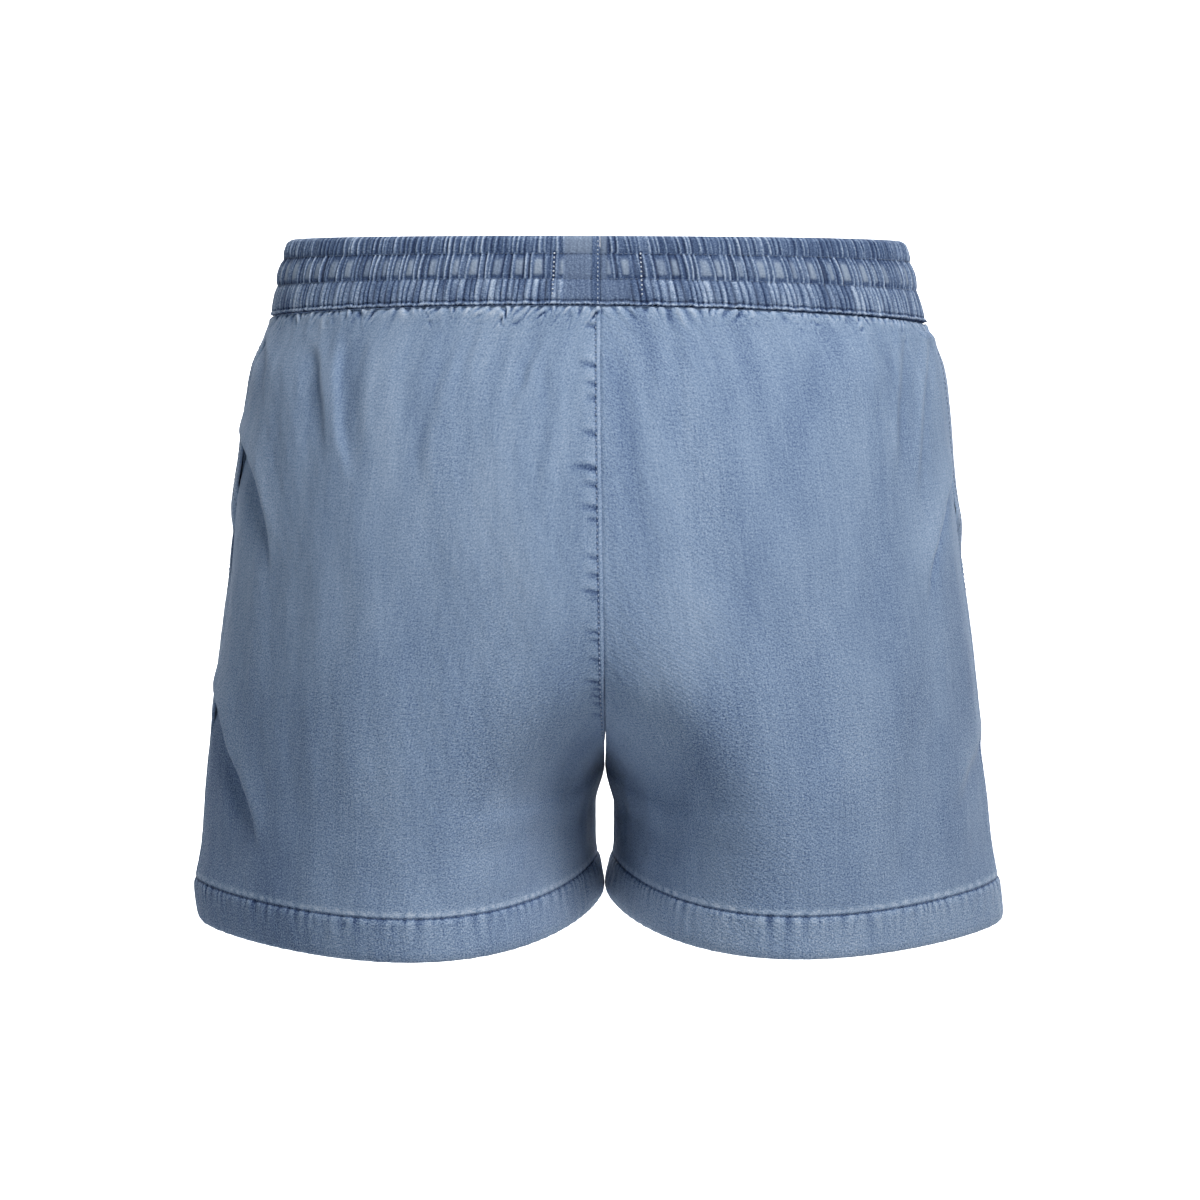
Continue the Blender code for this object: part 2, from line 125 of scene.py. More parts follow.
# Folds: path, step, low, reach_low, high, reach_high. A path is points of (distance along the
# cloth from the side seam, height). The cloth sinks by low on its side-seam side, over reach_low,
# and stands up by high on its centre side, over reach_high. step is how wide the turn between
# them is: small where cloth laps over cloth.
FOLDS = {
    (BACK, LEFT): (
        (((-16, -60), (-6, -72), (12, -81), (23, -89), (31, -96), (36, -103), (41, -111), (44, -120),
          (46, -132)),
         1.2, 3.6, 16.0, 2.4, 12.0),
        (((-14, -182), (-6, -190), (16, -203), (29, -218), (44, -232), (54, -244), (62, -260)),
         1.3, 3.4, 14.0, 2.2, 14.0),
        (((50, -36), (60, -44), (67, -55), (72, -65), (78, -78)), 2.0, 2.1, 14.0, 1.3, 6.0),
        (((69, -34), (74, -46), (80, -58), (85, -72), (94, -88)), 2.0, -1.1, 5.0, -1.5, 9.0),
        (((84, -32), (88, -46), (93, -60), (100, -80)), 5.0, 0.3, 6.0, 0.8, 9.0),
        (((106, -30), (108, -43), (112, -57), (118, -74)), 4.0, -0.6, 8.0, -1.1, 10.0),
        (((131, -34), (131, -50), (131, -62), (130, -76), (132, -92)), 3.0, 0.9, 9.0, 0.8, 8.0),
        (((139, -27), (140, -40), (142, -54)), 2.5, 0.7, 5.0, 0.5, 5.0),
        (((155, -30), (158, -48), (160, -64)), 3.0, 0.8, 7.0, 0.6, 7.0),
        (((173, -34), (170, -44), (170, -53), (166, -65)), 1.8, 1.2, 7.0, 0.8, 5.0),
        (((176, -36), (184, -59), (186, -78), (185, -97)), 3.0, 0.9, 6.0, 0.7, 9.0),
        (((-6, -28), (8, -36), (20, -44), (24, -58)), 1.6, 1.3, 7.0, 0.8, 7.0),
        (((211, -150), (225, -185), (262, -222)), 9.0, 0.8, 16.0, -0.8, 16.0),
    ),
    (BACK, RIGHT): (
        (((-2, -84), (9, -93), (20, -102), (26, -109), (32, -116), (38, -124), (42, -131), (47, -144)),
         1.1, 2.4, 5.5, 2.2, 12.0),
        (((-6, -214), (14, -222), (30, -232), (44, -244)), 4.0, 2.0, 12.0, 1.0, 14.0),
        (((30, -24), (44, -44), (53, -62), (58, -84)), 2.2, 0.8, 6.0, 1.2, 5.0),
        (((8, -28), (24, -48), (36, -72), (44, -94)), 2.2, 0.8, 6.0, 1.3, 5.0),
        (((56, -25), (64, -45), (72, -68)), 4.0, 0.5, 7.0, 0.5, 7.0),
        (((81, -54), (84, -68), (86, -82)), 4.0, 0.5, 7.0, 0.3, 7.0),
        (((90, -30), (104, -48), (112, -66)), 4.0, 0.9, 8.0, 0.3, 8.0),
        (((127, -27), (129, -39), (134, -54)), 3.0, -0.3, 6.0, -0.8, 6.0),
        (((126, -62), (129, -85), (131, -108)), 5.0, 0.8, 9.0, 0.4, 10.0),
        (((157, -32), (163, -52), (170, -78)), 3.0, -0.5, 8.0, -1.1, 8.0),
        (((167, -30), (176, -49), (181, -64)), 3.0, -0.4, 6.0, -0.7, 6.0),
        (((185, -36), (189, -59), (191, -82), (193, -108)), 4.0, -0.5, 8.0, -1.1, 10.0),
        (((168, -128), (186, -160), (212, -192), (262, -226)), 11.0, -0.6, 18.0, 1.1, 20.0),
    ),
    (FRONT, LEFT): (
        (((-4, -96), (14, -112), (38, -142), (58, -182)), 2.6, 1.9, 12.0, 1.4, 14.0),
        (((38, -32), (50, -52), (66, -86)), 3.0, 1.2, 9.0, 0.9, 9.0),
        (((104, -32), (99, -60), (92, -102)), 5.0, 1.1, 10.0, 0.7, 10.0),
        (((150, -38), (160, -76), (172, -112)), 6.0, 0.9, 12.0, 0.6, 12.0),
        (((8, -206), (34, -232), (56, -264)), 5.0, 1.6, 13.0, 1.0, 15.0),
    ),
    (FRONT, RIGHT): (
        (((-4, -108), (18, -126), (44, -158), (62, -198)), 2.6, 1.9, 12.0, 1.4, 14.0),
        (((44, -32), (58, -56), (74, -92)), 3.0, 1.2, 9.0, 0.9, 9.0),
        (((120, -32), (116, -64), (108, -106)), 5.0, 1.1, 10.0, 0.7, 10.0),
        (((168, -36), (176, -80), (186, -118)), 6.0, 0.9, 12.0, 0.6, 12.0),
        (((2, -212), (30, -240), (50, -270)), 5.0, 1.6, 13.0, 1.0, 15.0),
    ),
}
FOLD_END_FADE = 14.0
DEEP_FOLD = 2.0
# How much a fold tints the cloth: paler where it stands up, as rubbed wear, and darker where it sinks, as
# painted shade.
FOLD_WEAR_AND_SHADE = {BACK: 0.13, FRONT: 0.34}
SEAM_STITCHES_OFF = 1.9

# Puckers beside the centre-back seam, on the wearer's left: height, length and depth.
SEAM_PUCKERS = (
    (-21.8, 5.0, 0.35), (-30.2, 7.0, 0.45), (-45.7, 10.0, 0.60), (-52.8, 7.0, 0.50),
    (-58.2, 6.0, 0.40), (-71.5, 9.0, 0.55), (-84.4, 14.0, 0.75), (-90.7, 8.0, 0.50),
    (-99.2, 10.0, 0.55), (-103.7, 6.0, 0.40), (-118.4, 8.0, 0.45), (-125.6, 7.0, 0.45),
    (-132.8, 10.0, 0.55), (-135.9, 6.0, 0.35), (-150.8, 8.0, 0.45), (-154.8, 6.0, 0.40),
    (-163.8, 7.0, 0.40), (-174.7, 9.0, 0.50), (-178.3, 6.0, 0.35), (-181.9, 7.0, 0.40),
    (-186.0, 6.0, 0.35), (-192.4, 8.0, 0.35),
)

# Sizes of the fine form, in millimetres.
# Puckers: their pitch, and the ranges of their length, strength and lean.
WAIST_PUCKERS = (4.4, (1.5, 5.5), (0.3, 1.3), (-1.3, 1.3))
HEM_PUCKERS = (5.6, (2.6, 7.0), (0.2, 1.2), (-0.3, 0.3))
STITCH_LINES = (0.25, 0.61)
CORD_PITCH = 2.3
# The waistband's channels: where each starts and ends on the way down, how far it bulges, its
# gathers' pitch, how uneven they are and how wide their crests, the share of wide gaps between
# them and how many times wider these are, how pale, how much wider towards one end and how warm
# in colour, and how far the gathers are flat-topped.
CHANNEL_COLUMNS = (
    "start", "end", "bulge", "pitch", "uneven", "crest", "wide_share", "wide", "pale", "wedge", "warm",
    "flat_topped",
)
CHANNELS = (
    (0.00, 0.25, 0.75, 2.6, 0.38, 0.48, 0.25, 1.5, 0.35, 0.15, 0.1, 0.15),
    (0.25, 0.61, 0.95, 2.6, 0.30, 0.50, 0.40, 2.2, 1.00, 0.15, 0.6, 0.0),
    (0.61, 1.00, 0.90, 2.4, 0.30, 0.60, 0.40, 1.5, 0.80, 0.90, 0.2, 0.75),
)
FLAT_PATCH = 16.4
FLAT_BEYOND_JOIN = (3.0, 3.0, 13.5)
JOIN_STRIP = 3.7
STAY_STITCHES = (21.0, -18.6)

# A stitch covers this share of its pitch. Its rings: way along, thickness and rise.
STITCH_COVER = 0.72
SPINDLE = ((0.0, 0.30, -0.35), (0.15, 0.85, 0.35), (0.5, 1.0, 0.75), (0.85, 0.85, 0.35), (1.0, 0.30, -0.35))
TUBE_SIDES = 6
# The thread end at the wearer's right: its share of the way round the band, and its points.
THREAD_END_ALONG = 0.752
THREAD_END_ROUTE = (
    (0.6, 0.3, 0.3), (-0.4, 0.5, -0.4), (-1.5, 0.6, 0.2), (-2.0, 0.5, -0.8), (-1.2, 0.5, -1.5),
)

# The panels: fineness across, which is one more than a multiple of three, flat size as cut in
# metres, and its area in square metres.
SIDE_NAMES = {LEFT: "left", RIGHT: "right"}
PANELS = (
    (BACK, "back", 265, (0.365, 0.345), 0.086),
    (FRONT, "front", 214, (0.305, 0.330), 0.082),
)
BAND_COLUMNS = 2041
CLOSER_AT_EDGES = 0.075
MARKS_INSIDE = 0.3
SHARP_ANGLE = math.radians(70)
BAND_CLOSER_AT_BACK = 0.12
BAG_GRID = (61, 43)

# The twill as drawn: its ribs' pitch in millimetres and their slant.
TWILL_PITCH = 1.05
TWILL_ANGLE = math.radians(58.0)
# The cloth's uneven colour and relief: each pattern's coordinates, its size across and down in
# millimetres, its detail and its roughness.
CLOTH_PATTERNS = (
    ("clouds", "Object", 26.0, 60.0, 2.0, 0.55),
    ("streaks", "UV", 3.4, 40.0, 3.0, 0.55),
    ("slubs_down", "UV", 0.9, 16.0, 2.0, 0.55),
    ("slubs_across", "UV", 11.0, 0.9, 2.0, 0.55),
    ("speckle", "UV", 0.85, 0.75, 2.0, 0.7),
    ("fuzz", "UV", 0.7, 0.7, 2.0, 0.7),
    ("crepe", "UV", 2.2, 1.5, 2.0, 0.6),
)
# Where a cloth's five tones, from unworn to worn pale, lie between 0 and 1.
TONE_PLACES = (0.0, 0.28, 0.5, 0.72, 1.0)

# The studio and the camera, in metres and degrees.
CAMERA_DISTANCE = 2.3
CAMERA_TILT = 7.8
CAMERA_AIM = -0.153
CAMERA_LENS = 147.0
FLOOR_LEVEL = -1.2
SWEEP_BACK = 4.0
SWEEP_RADIUS = 2.0
SWEEP_REACH = 60.0
SWEEP_TOP = 7.0
WORLD_STRENGTH = 0.145
SHADE_LIGHT = "#dbedff"
# Each lamp's name, place, what it points at, width and height, watts and colour.
LAMPS = (
    ("key_softbox", (-0.64, 1.40, 1.42), (0.0, 0.0, -0.15), (0.9, 0.9), 47.5, "#ffffff"),
    ("fill_softbox", (2.4, 1.6, 0.3), (0.0, 0.0, -0.15), (1.8, 1.8), 4.0, SHADE_LIGHT),
    ("front_softbox", (0.5, -2.4, 1.5), (0.0, 0.0, -0.15), (1.8, 1.8), 9.0, "#ffffff"),
    ("backdrop_lamp", (0.0, -3.0, 2.3), (0.0, -5.2, -1.2), (4.0, 1.0), 600.0, "#ffffff"),
)


# ---- the worn form

def column(table, names, name, heights):
    """One column of a table at any height, on a smooth curve through its rows."""
    rows = np.array(table, float)[::-1]
    at = rows[:, 0]
    values = rows[:, names.index(name)]
    slopes = np.gradient(values, at)
    wanted = np.clip(heights, at[0], at[-1])
    i = np.clip(np.searchsorted(at, wanted) - 1, 0, len(at) - 2)
    step = at[i + 1] - at[i]
    t = (wanted - at[i]) / step
    start = values[i] * (1 + 2 * t) * (1 - t) ** 2 + slopes[i] * step * t * (1 - t) ** 2
    end = values[i + 1] * t**2 * (3 - 2 * t) - slopes[i + 1] * step * t**2 * (1 - t)
    return start + end


def outline(name, heights):
    """One measure of the worn outline at any height."""
    return column(OUTLINE, OUTLINE_COLUMNS, name, heights)


def ramp(value, start, end):
    """0 at start, 1 at end, with a soft turn at each."""
    t = np.clip((value - start) / (end - start), 0.0, 1.0)
    return t * t * (3 - 2 * t)


def hump(value, centre, width):
    """A soft bump of height 1: e to the power of minus the square of the distance over the width."""
    return np.exp(-(((value - centre) / width) ** 2))


def unit(vectors):
    """Directions of length 1: each vector divided by its length."""
    return vectors / np.linalg.norm(vectors, axis=-1, keepdims=True)


def edge_line(line, across, deep):
    """Height of an edge of the waistband: across is 1 at the wearer's left, deep is 1 at the back."""
    tilt = line["back_to_front"] * deep + line["bow"] * deep**2
    return line["side"] + tilt + line["left_to_right"] * across


def roll(face, heights):
    """0 where a section stops at the middle plane and 1 where it is a whole leg loop."""
    up = np.clip((heights - CROTCH_HEIGHT) / RISE_BEND[face], 0.0, 1.0)
    return 1 - np.sin(up * math.pi / 2) ** CROTCH_CURVE


def leg_gap(heights):
    """Distance from the middle plane to the inner face of a leg, or to the rise seam's edge."""
    opening = ramp(heights, CROTCH_HEIGHT, CROTCH_HEIGHT - LEG_GAP_OPENS_IN)
    closing = ramp(heights, *LEG_GAP_CLOSES)
    below = opening * (LEG_GAP_WIDEST + (LEG_GAP_AT_HEM - LEG_GAP_WIDEST) * closing)
    return np.maximum(below, SEAM_GAP / 2)


def middle(heights):
    """The centre seam leans a little to the wearer's right on its way down."""
    return MIDDLE_SHIFT * ramp(heights, MIDDLE_LEANS_FROM, CROTCH_HEIGHT)


def tube(side, angle, heights):
    """A point on the outside of one half of the shorts.

    angle runs from 0 at the widest point of the side to plus 90 degrees at the back and
    minus 90 at the front, and on to 180 at the inside of a leg. A section is an ellipse
    with one end on the middle plane. Towards the crotch its centre moves out by roll, the
    ends get sharper, and its inner end moves forward, until it is a whole leg loop.
    """
    reach = outline("left" if side == LEFT else "right", heights) - side * middle(heights)
    gap = leg_gap(heights)
    behind = angle >= 0
    k = np.where(behind, roll(BACK, heights), roll(FRONT, heights))
    radius = (reach - gap) / (1 + k)
    x = middle(heights) + side * (gap + radius * (k + np.cos(angle)))
    forward = -CROTCH_FORWARD * k
    swing = forward * (1 - np.cos(angle)) / 2
    fuller = side * LEG_BACK_DIFFERENCE * ramp(heights, LEG_DIFFERENCE_STARTS, HEM_HEIGHT)
    depth_back = outline("back", heights) + fuller - forward / 2
    depth_front = outline("front", heights) + forward / 2
    depth = np.where(behind, depth_back, -depth_front)
    inward = np.where(behind, LEG_FULLNESS_INWARD[BACK], LEG_FULLNESS_INWARD[FRONT])
    round_off = np.abs(np.sin(angle)) ** (1 + LEG_EDGE_SHARPNESS * k)
    y = swing + depth * round_off * (1 - inward * k * np.cos(angle))
    lift = INSEAM_LIFT * k * ramp(heights, CROTCH_HEIGHT, HEM_HEIGHT) * ((1 - np.cos(angle)) / 2) ** 2
    return np.stack([x, y, heights + lift], axis=-1)


def angles_along(face, side, height, distances):
    """Angles at given distances along the cloth from the side seam, and the whole length there."""
    start = SEAM_BEHIND_SIDE - face * ARC_PAST_SEAM
    last = math.acos(max(-1.0, -float(roll(face, height))))
    beyond = ARC_PAST_MIDDLE * float(ramp(height, CROTCH_HEIGHT, CROTCH_HEIGHT + TUCK_FADES))
    angles = np.linspace(start, face * (last + beyond), ARC_SAMPLES)
    points = tube(side, angles, np.full(angles.shape, float(height)))
    travelled = np.concatenate([[0.0], np.cumsum(np.linalg.norm(np.diff(points, axis=0), axis=1))])
    travelled = travelled - np.interp(SEAM_BEHIND_SIDE, angles[::face], travelled[::face])
    return np.interp(distances, travelled, angles), np.interp(last, face * angles, travelled)


def tilted(angles, side, rows):
    """Heights of a row, which follows the waistband's lower edge at the top and is level low down."""
    at_side = BAND_BOTTOM["side"]
    shift = edge_line(BAND_BOTTOM, side * np.cos(angles), np.sin(angles)) - at_side
    return rows + shift * ramp(rows, BAND_TILT_FADES, at_side)


def smooth_cloth(face, side, rows, distances):
    """Points on the outside of a panel before its folds, and the directions out of it."""
    angles = np.array([angles_along(face, side, row, far)[0] for row, far in zip(rows, distances)])
    heights = tilted(angles, side, rows[:, None])
    points = tube(side, angles, heights)
    small = 1e-3
    round_step = tube(side, angles + small, heights) - tube(side, angles - small, heights)
    down_step = tube(side, angles, heights - small) - tube(side, angles, heights + small)
    outward = np.cross(down_step, round_step) * side
    return points, unit(outward)


def mouth_shape(heights):
    """0 at the ends of the pocket mouth and 1 where it gapes most."""
    down = np.clip((MOUTH_TOP - heights) / (MOUTH_TOP - MOUTH_BOTTOM), 0.0, 1.0)
    return np.sin(math.pi * down**MOUTH_LOW) ** 2


# ---- uneven cloth

def waves(across, down, seed, pitch_across, pitch_down, count=8):
    """Uneven soft waves, mostly within plus and minus 1.

    The sum of sines whose pitches lie from 0.6 to 1.7 of those given, each leaning its own way.
    """
    draw = np.random.default_rng(seed)
    total = np.zeros(np.broadcast(across, down).shape)
    for _ in range(count):
        stretch = draw.uniform(0.6, 1.7, 2)
        lean = draw.uniform(-1.0, 1.0)
        turn = across / (pitch_across * stretch[0]) + lean * down / (pitch_down * stretch[1])
        total = total + np.sin(2 * math.pi * turn + draw.uniform(0.0, 2 * math.pi))
    return total / math.sqrt(count)


def ridge_places(length, pitch, seed, uneven, wide_share=0.0, wide=1.0):
    """Where the ridges of a gathered edge lie, and which gaps between them are wide.

    The steps are longer or shorter by up to uneven, and a share of them is wide times longer.
    """
    draw = np.random.default_rng(seed)
    count = round(length / pitch / (1 + wide_share * (wide - 1)))
    steps = draw.uniform(1 - uneven, 1 + uneven, count)
    turns = np.arange(count + 1) * wide_share + draw.uniform(0.0, 0.45, count + 1)
    is_wide = np.diff(np.floor(turns)) > 0
    steps = np.where(is_wide, wide * steps, steps)
    return np.concatenate([[0.0], np.cumsum(steps)]) * length / steps.sum(), is_wide


def puckers(along, away, length, seed, pitch, reaches, strengths, leans):
    """Short gathers that start at a seam and die out away from it, from -1 in dips to 0.5 on ridges.

    Rounded ridges along the seam, the squared cosine, with narrow dips between, times e to the
    power of minus the distance over a length. Each gather draws its length, strength and lean.
    """
    places = ridge_places(length, pitch, seed, 0.6)[0]
    draw = np.random.default_rng(seed + 1)
    reach, strength, lean = (draw.uniform(*span, len(places)) for span in (reaches, strengths, leans))
    phase = np.interp(along + np.interp(along, places, lean) * away, places, np.arange(len(places)))
    rise = np.cos(math.pi * phase) ** 2
    fade = np.exp(-away / np.interp(along, places, reach))
    return (0.5 - 1.5 * (1 - rise) ** 2) * np.interp(along, places, strength) * fade


def fold_push(face, side, from_seam, heights):
    """How far the folds push the cloth out, from the table FOLDS, and how much of a lip is there.

    Each path is rounded into short straight pieces. off is the distance from the nearest of
    them, positive on the centre side. The cloth is minus low on one side and plus high on the
    other, each dying out as a bell, with a soft step between, and all fades at the path's ends.
    Deep folds have a lip, a narrow line along the raised edge, which the panel paints pale as a painted
    highlight.
    """
    total = np.zeros(from_seam.shape)
    lip_highlight = np.zeros(from_seam.shape)
    for path, step, low, reach_low, high, reach_high in FOLDS[face, side]:
        path = rounded(np.array(path, float))
        near = np.full(from_seam.shape, np.inf)
        off = np.zeros(from_seam.shape)
        along = np.zeros(from_seam.shape)
        gone = 0.0
        for start, end in zip(path[:-1], path[1:]):
            run = end - start
            reach = np.linalg.norm(run)
            dd, dh = from_seam - start[0], heights - start[1]
            t = (dd * run[0] + dh * run[1]) / reach
            inside = np.clip(t, 0.0, reach)
            gap = np.hypot(dd - inside * run[0] / reach, dh - inside * run[1] / reach)
            here = gap < near
            near = np.where(here, gap, near)
            off = np.where(here, (dh * run[0] - dd * run[1]) / reach, off)
            along = np.where(here, gone + t, along)
            gone += reach
        rise = 0.5 + 0.5 * np.tanh(off / step)
        stands = high * hump(off, 0.0, reach_high) * rise - low * hump(off, 0.0, reach_low) * (1 - rise)
        tail = FOLD_END_FADE * (0.7 + 0.5 * abs(low))
        fade = ramp(along, -FOLD_END_FADE / 2, FOLD_END_FADE)
        fade = fade * ramp(along, gone + FOLD_END_FADE / 2, gone - tail)
        fade = fade * hump(np.maximum(near - np.abs(off), 0.0), 0.0, FOLD_END_FADE)
        total += stands * fade
        # A lip changes no form: it is only a painted highlight.
        if low > DEEP_FOLD:
            lip_highlight += fade * hump(off, 0.8 * step, 0.9)
    return total, lip_highlight


def rounded(path, pieces=5):
    """Points on a smooth curve through a path's points (a Catmull-Rom curve)."""
    ends = np.concatenate([[2 * path[0] - path[1]], path, [2 * path[-1] - path[-2]]])
    a, b, c, d = ends[:-3, None], ends[1:-2, None], ends[2:-1, None], ends[3:, None]
    t = np.linspace(0.0, 1.0, pieces, endpoint=False)[None, :, None]
    curve = b + t * (c - a) / 2 + t**2 * (2 * a - 5 * b + 4 * c - d) / 2 + t**3 * (3 * b - a - 3 * c + d) / 2
    return np.concatenate([curve.reshape(-1, path.shape[1]), path[-1:]])


# ---- meshes

def shell(name, outer, inner, surface, marks, material):
    """A closed thin wall between two grids of points, in millimetres.

    The inner face keeps every third point. The rim is made of faces with four corners on the
    outer edge and two on the inner. surface is each point's place on the flat cloth, for the
    weave, and marks are the cloth's wear with its painted light and shade, how thin and how crinkled it is.
    """
    inner = inner[::3, ::3]
    surface = np.stack(surface, axis=-1) * MM
    out = np.arange(outer.shape[0] * outer.shape[1]).reshape(outer.shape[:2])
    back = out.size + np.arange(inner.shape[0] * inner.shape[1]).reshape(inner.shape[:2])
    faces = [
        np.stack([out[:-1, :-1], out[:-1, 1:], out[1:, 1:], out[1:, :-1]], axis=-1).reshape(-1, 4),
        np.stack([back[:-1, :-1], back[1:, :-1], back[1:, 1:], back[:-1, 1:]], axis=-1).reshape(-1, 4),
    ]

    def rim(edge, under):
        """Faces between three steps of an outer edge and one of the inner."""
        threes = [edge[i:len(edge) - 3 + i:3] for i in range(4)]
        return np.stack([*threes, under[1:], under[:-1]], axis=-1)

    six = np.concatenate([
        rim(out[0], back[0])[:, ::-1], rim(out[-1], back[-1]),
        rim(out[:, 0], back[:, 0]), rim(out[:, -1], back[:, -1])[:, ::-1],
    ])
    points = np.concatenate([outer.reshape(-1, 3), inner.reshape(-1, 3)]) * MM
    flat = np.concatenate([surface.reshape(-1, 2), surface[::3, ::3].reshape(-1, 2)])
    quads = np.concatenate(faces)
    row, col = (count // 6 * 3 for count in out.shape)
    probe = points[[out[row, col], out[row, col + 1], out[row + 1, col + 1]]]
    facing = np.cross(probe[1] - probe[0], probe[2] - probe[1])
    if facing @ (probe[0] - points[back[row // 3, col // 3]]) < 0:
        quads, six = quads[:, ::-1], six[:, ::-1]
    mesh = bpy.data.meshes.new(name)
    corners = np.concatenate([quads.ravel(), six.ravel()])
    starts = np.concatenate([np.arange(len(quads)) * 4, 4 * len(quads) + np.arange(len(six)) * 6])
    mesh.vertices.add(len(points))
    mesh.vertices.foreach_set("co", points.ravel())
    mesh.loops.add(len(corners))
    mesh.loops.foreach_set("vertex_index", corners)
    mesh.polygons.add(len(starts))
    mesh.polygons.foreach_set("loop_start", starts)
    mesh.update(calc_edges=True)
    mesh.uv_layers.new(name="cloth").uv.foreach_set("vector", flat[corners].ravel())
    for mark, values in zip(("wear_and_painted_light", "thin", "crinkle"), marks):
        values = np.broadcast_to(values, out.shape)
        both = np.concatenate([values.ravel(), values[::3, ::3].ravel() * MARKS_INSIDE])
        mesh.attributes.new(mark, "FLOAT", "POINT").data.foreach_set("value", both)
    mesh.validate()
    mesh.shade_smooth()
    mesh.set_sharp_from_angle(angle=SHARP_ANGLE)
    return place(name, mesh, material)


def put(name, data, location=(0.0, 0.0, 0.0), rotation=(0.0, 0.0, 0.0)):
    """A new object in the scene."""
    obj = bpy.data.objects.new(name, data)
    obj.location = location
    obj.rotation_euler = rotation
    bpy.context.scene.collection.objects.link(obj)
    return obj


def place(name, mesh, material):
    """A mesh as an object with its one material, at the origin."""
    mesh.materials.append(material)
    return put(name, mesh)


# ---- leg panels

def panel_rows():
    """Row heights: close together at the waist seam and the hem's stitches, wider apart between."""
    top = BAND_BOTTOM["side"] - SEAM_GAP / 2
    under_waist = np.linspace(0.0, 12.0, 19)[:-1]
    body = np.linspace(12.0, 259.0, 199)[:-1]
    at_stitches = np.linspace(259.0, 268.0, 31)[:-1]
    hem = np.linspace(268.0, top - HEM_HEIGHT, 28)
    return top - np.concatenate([under_waist, body, at_stitches, hem])


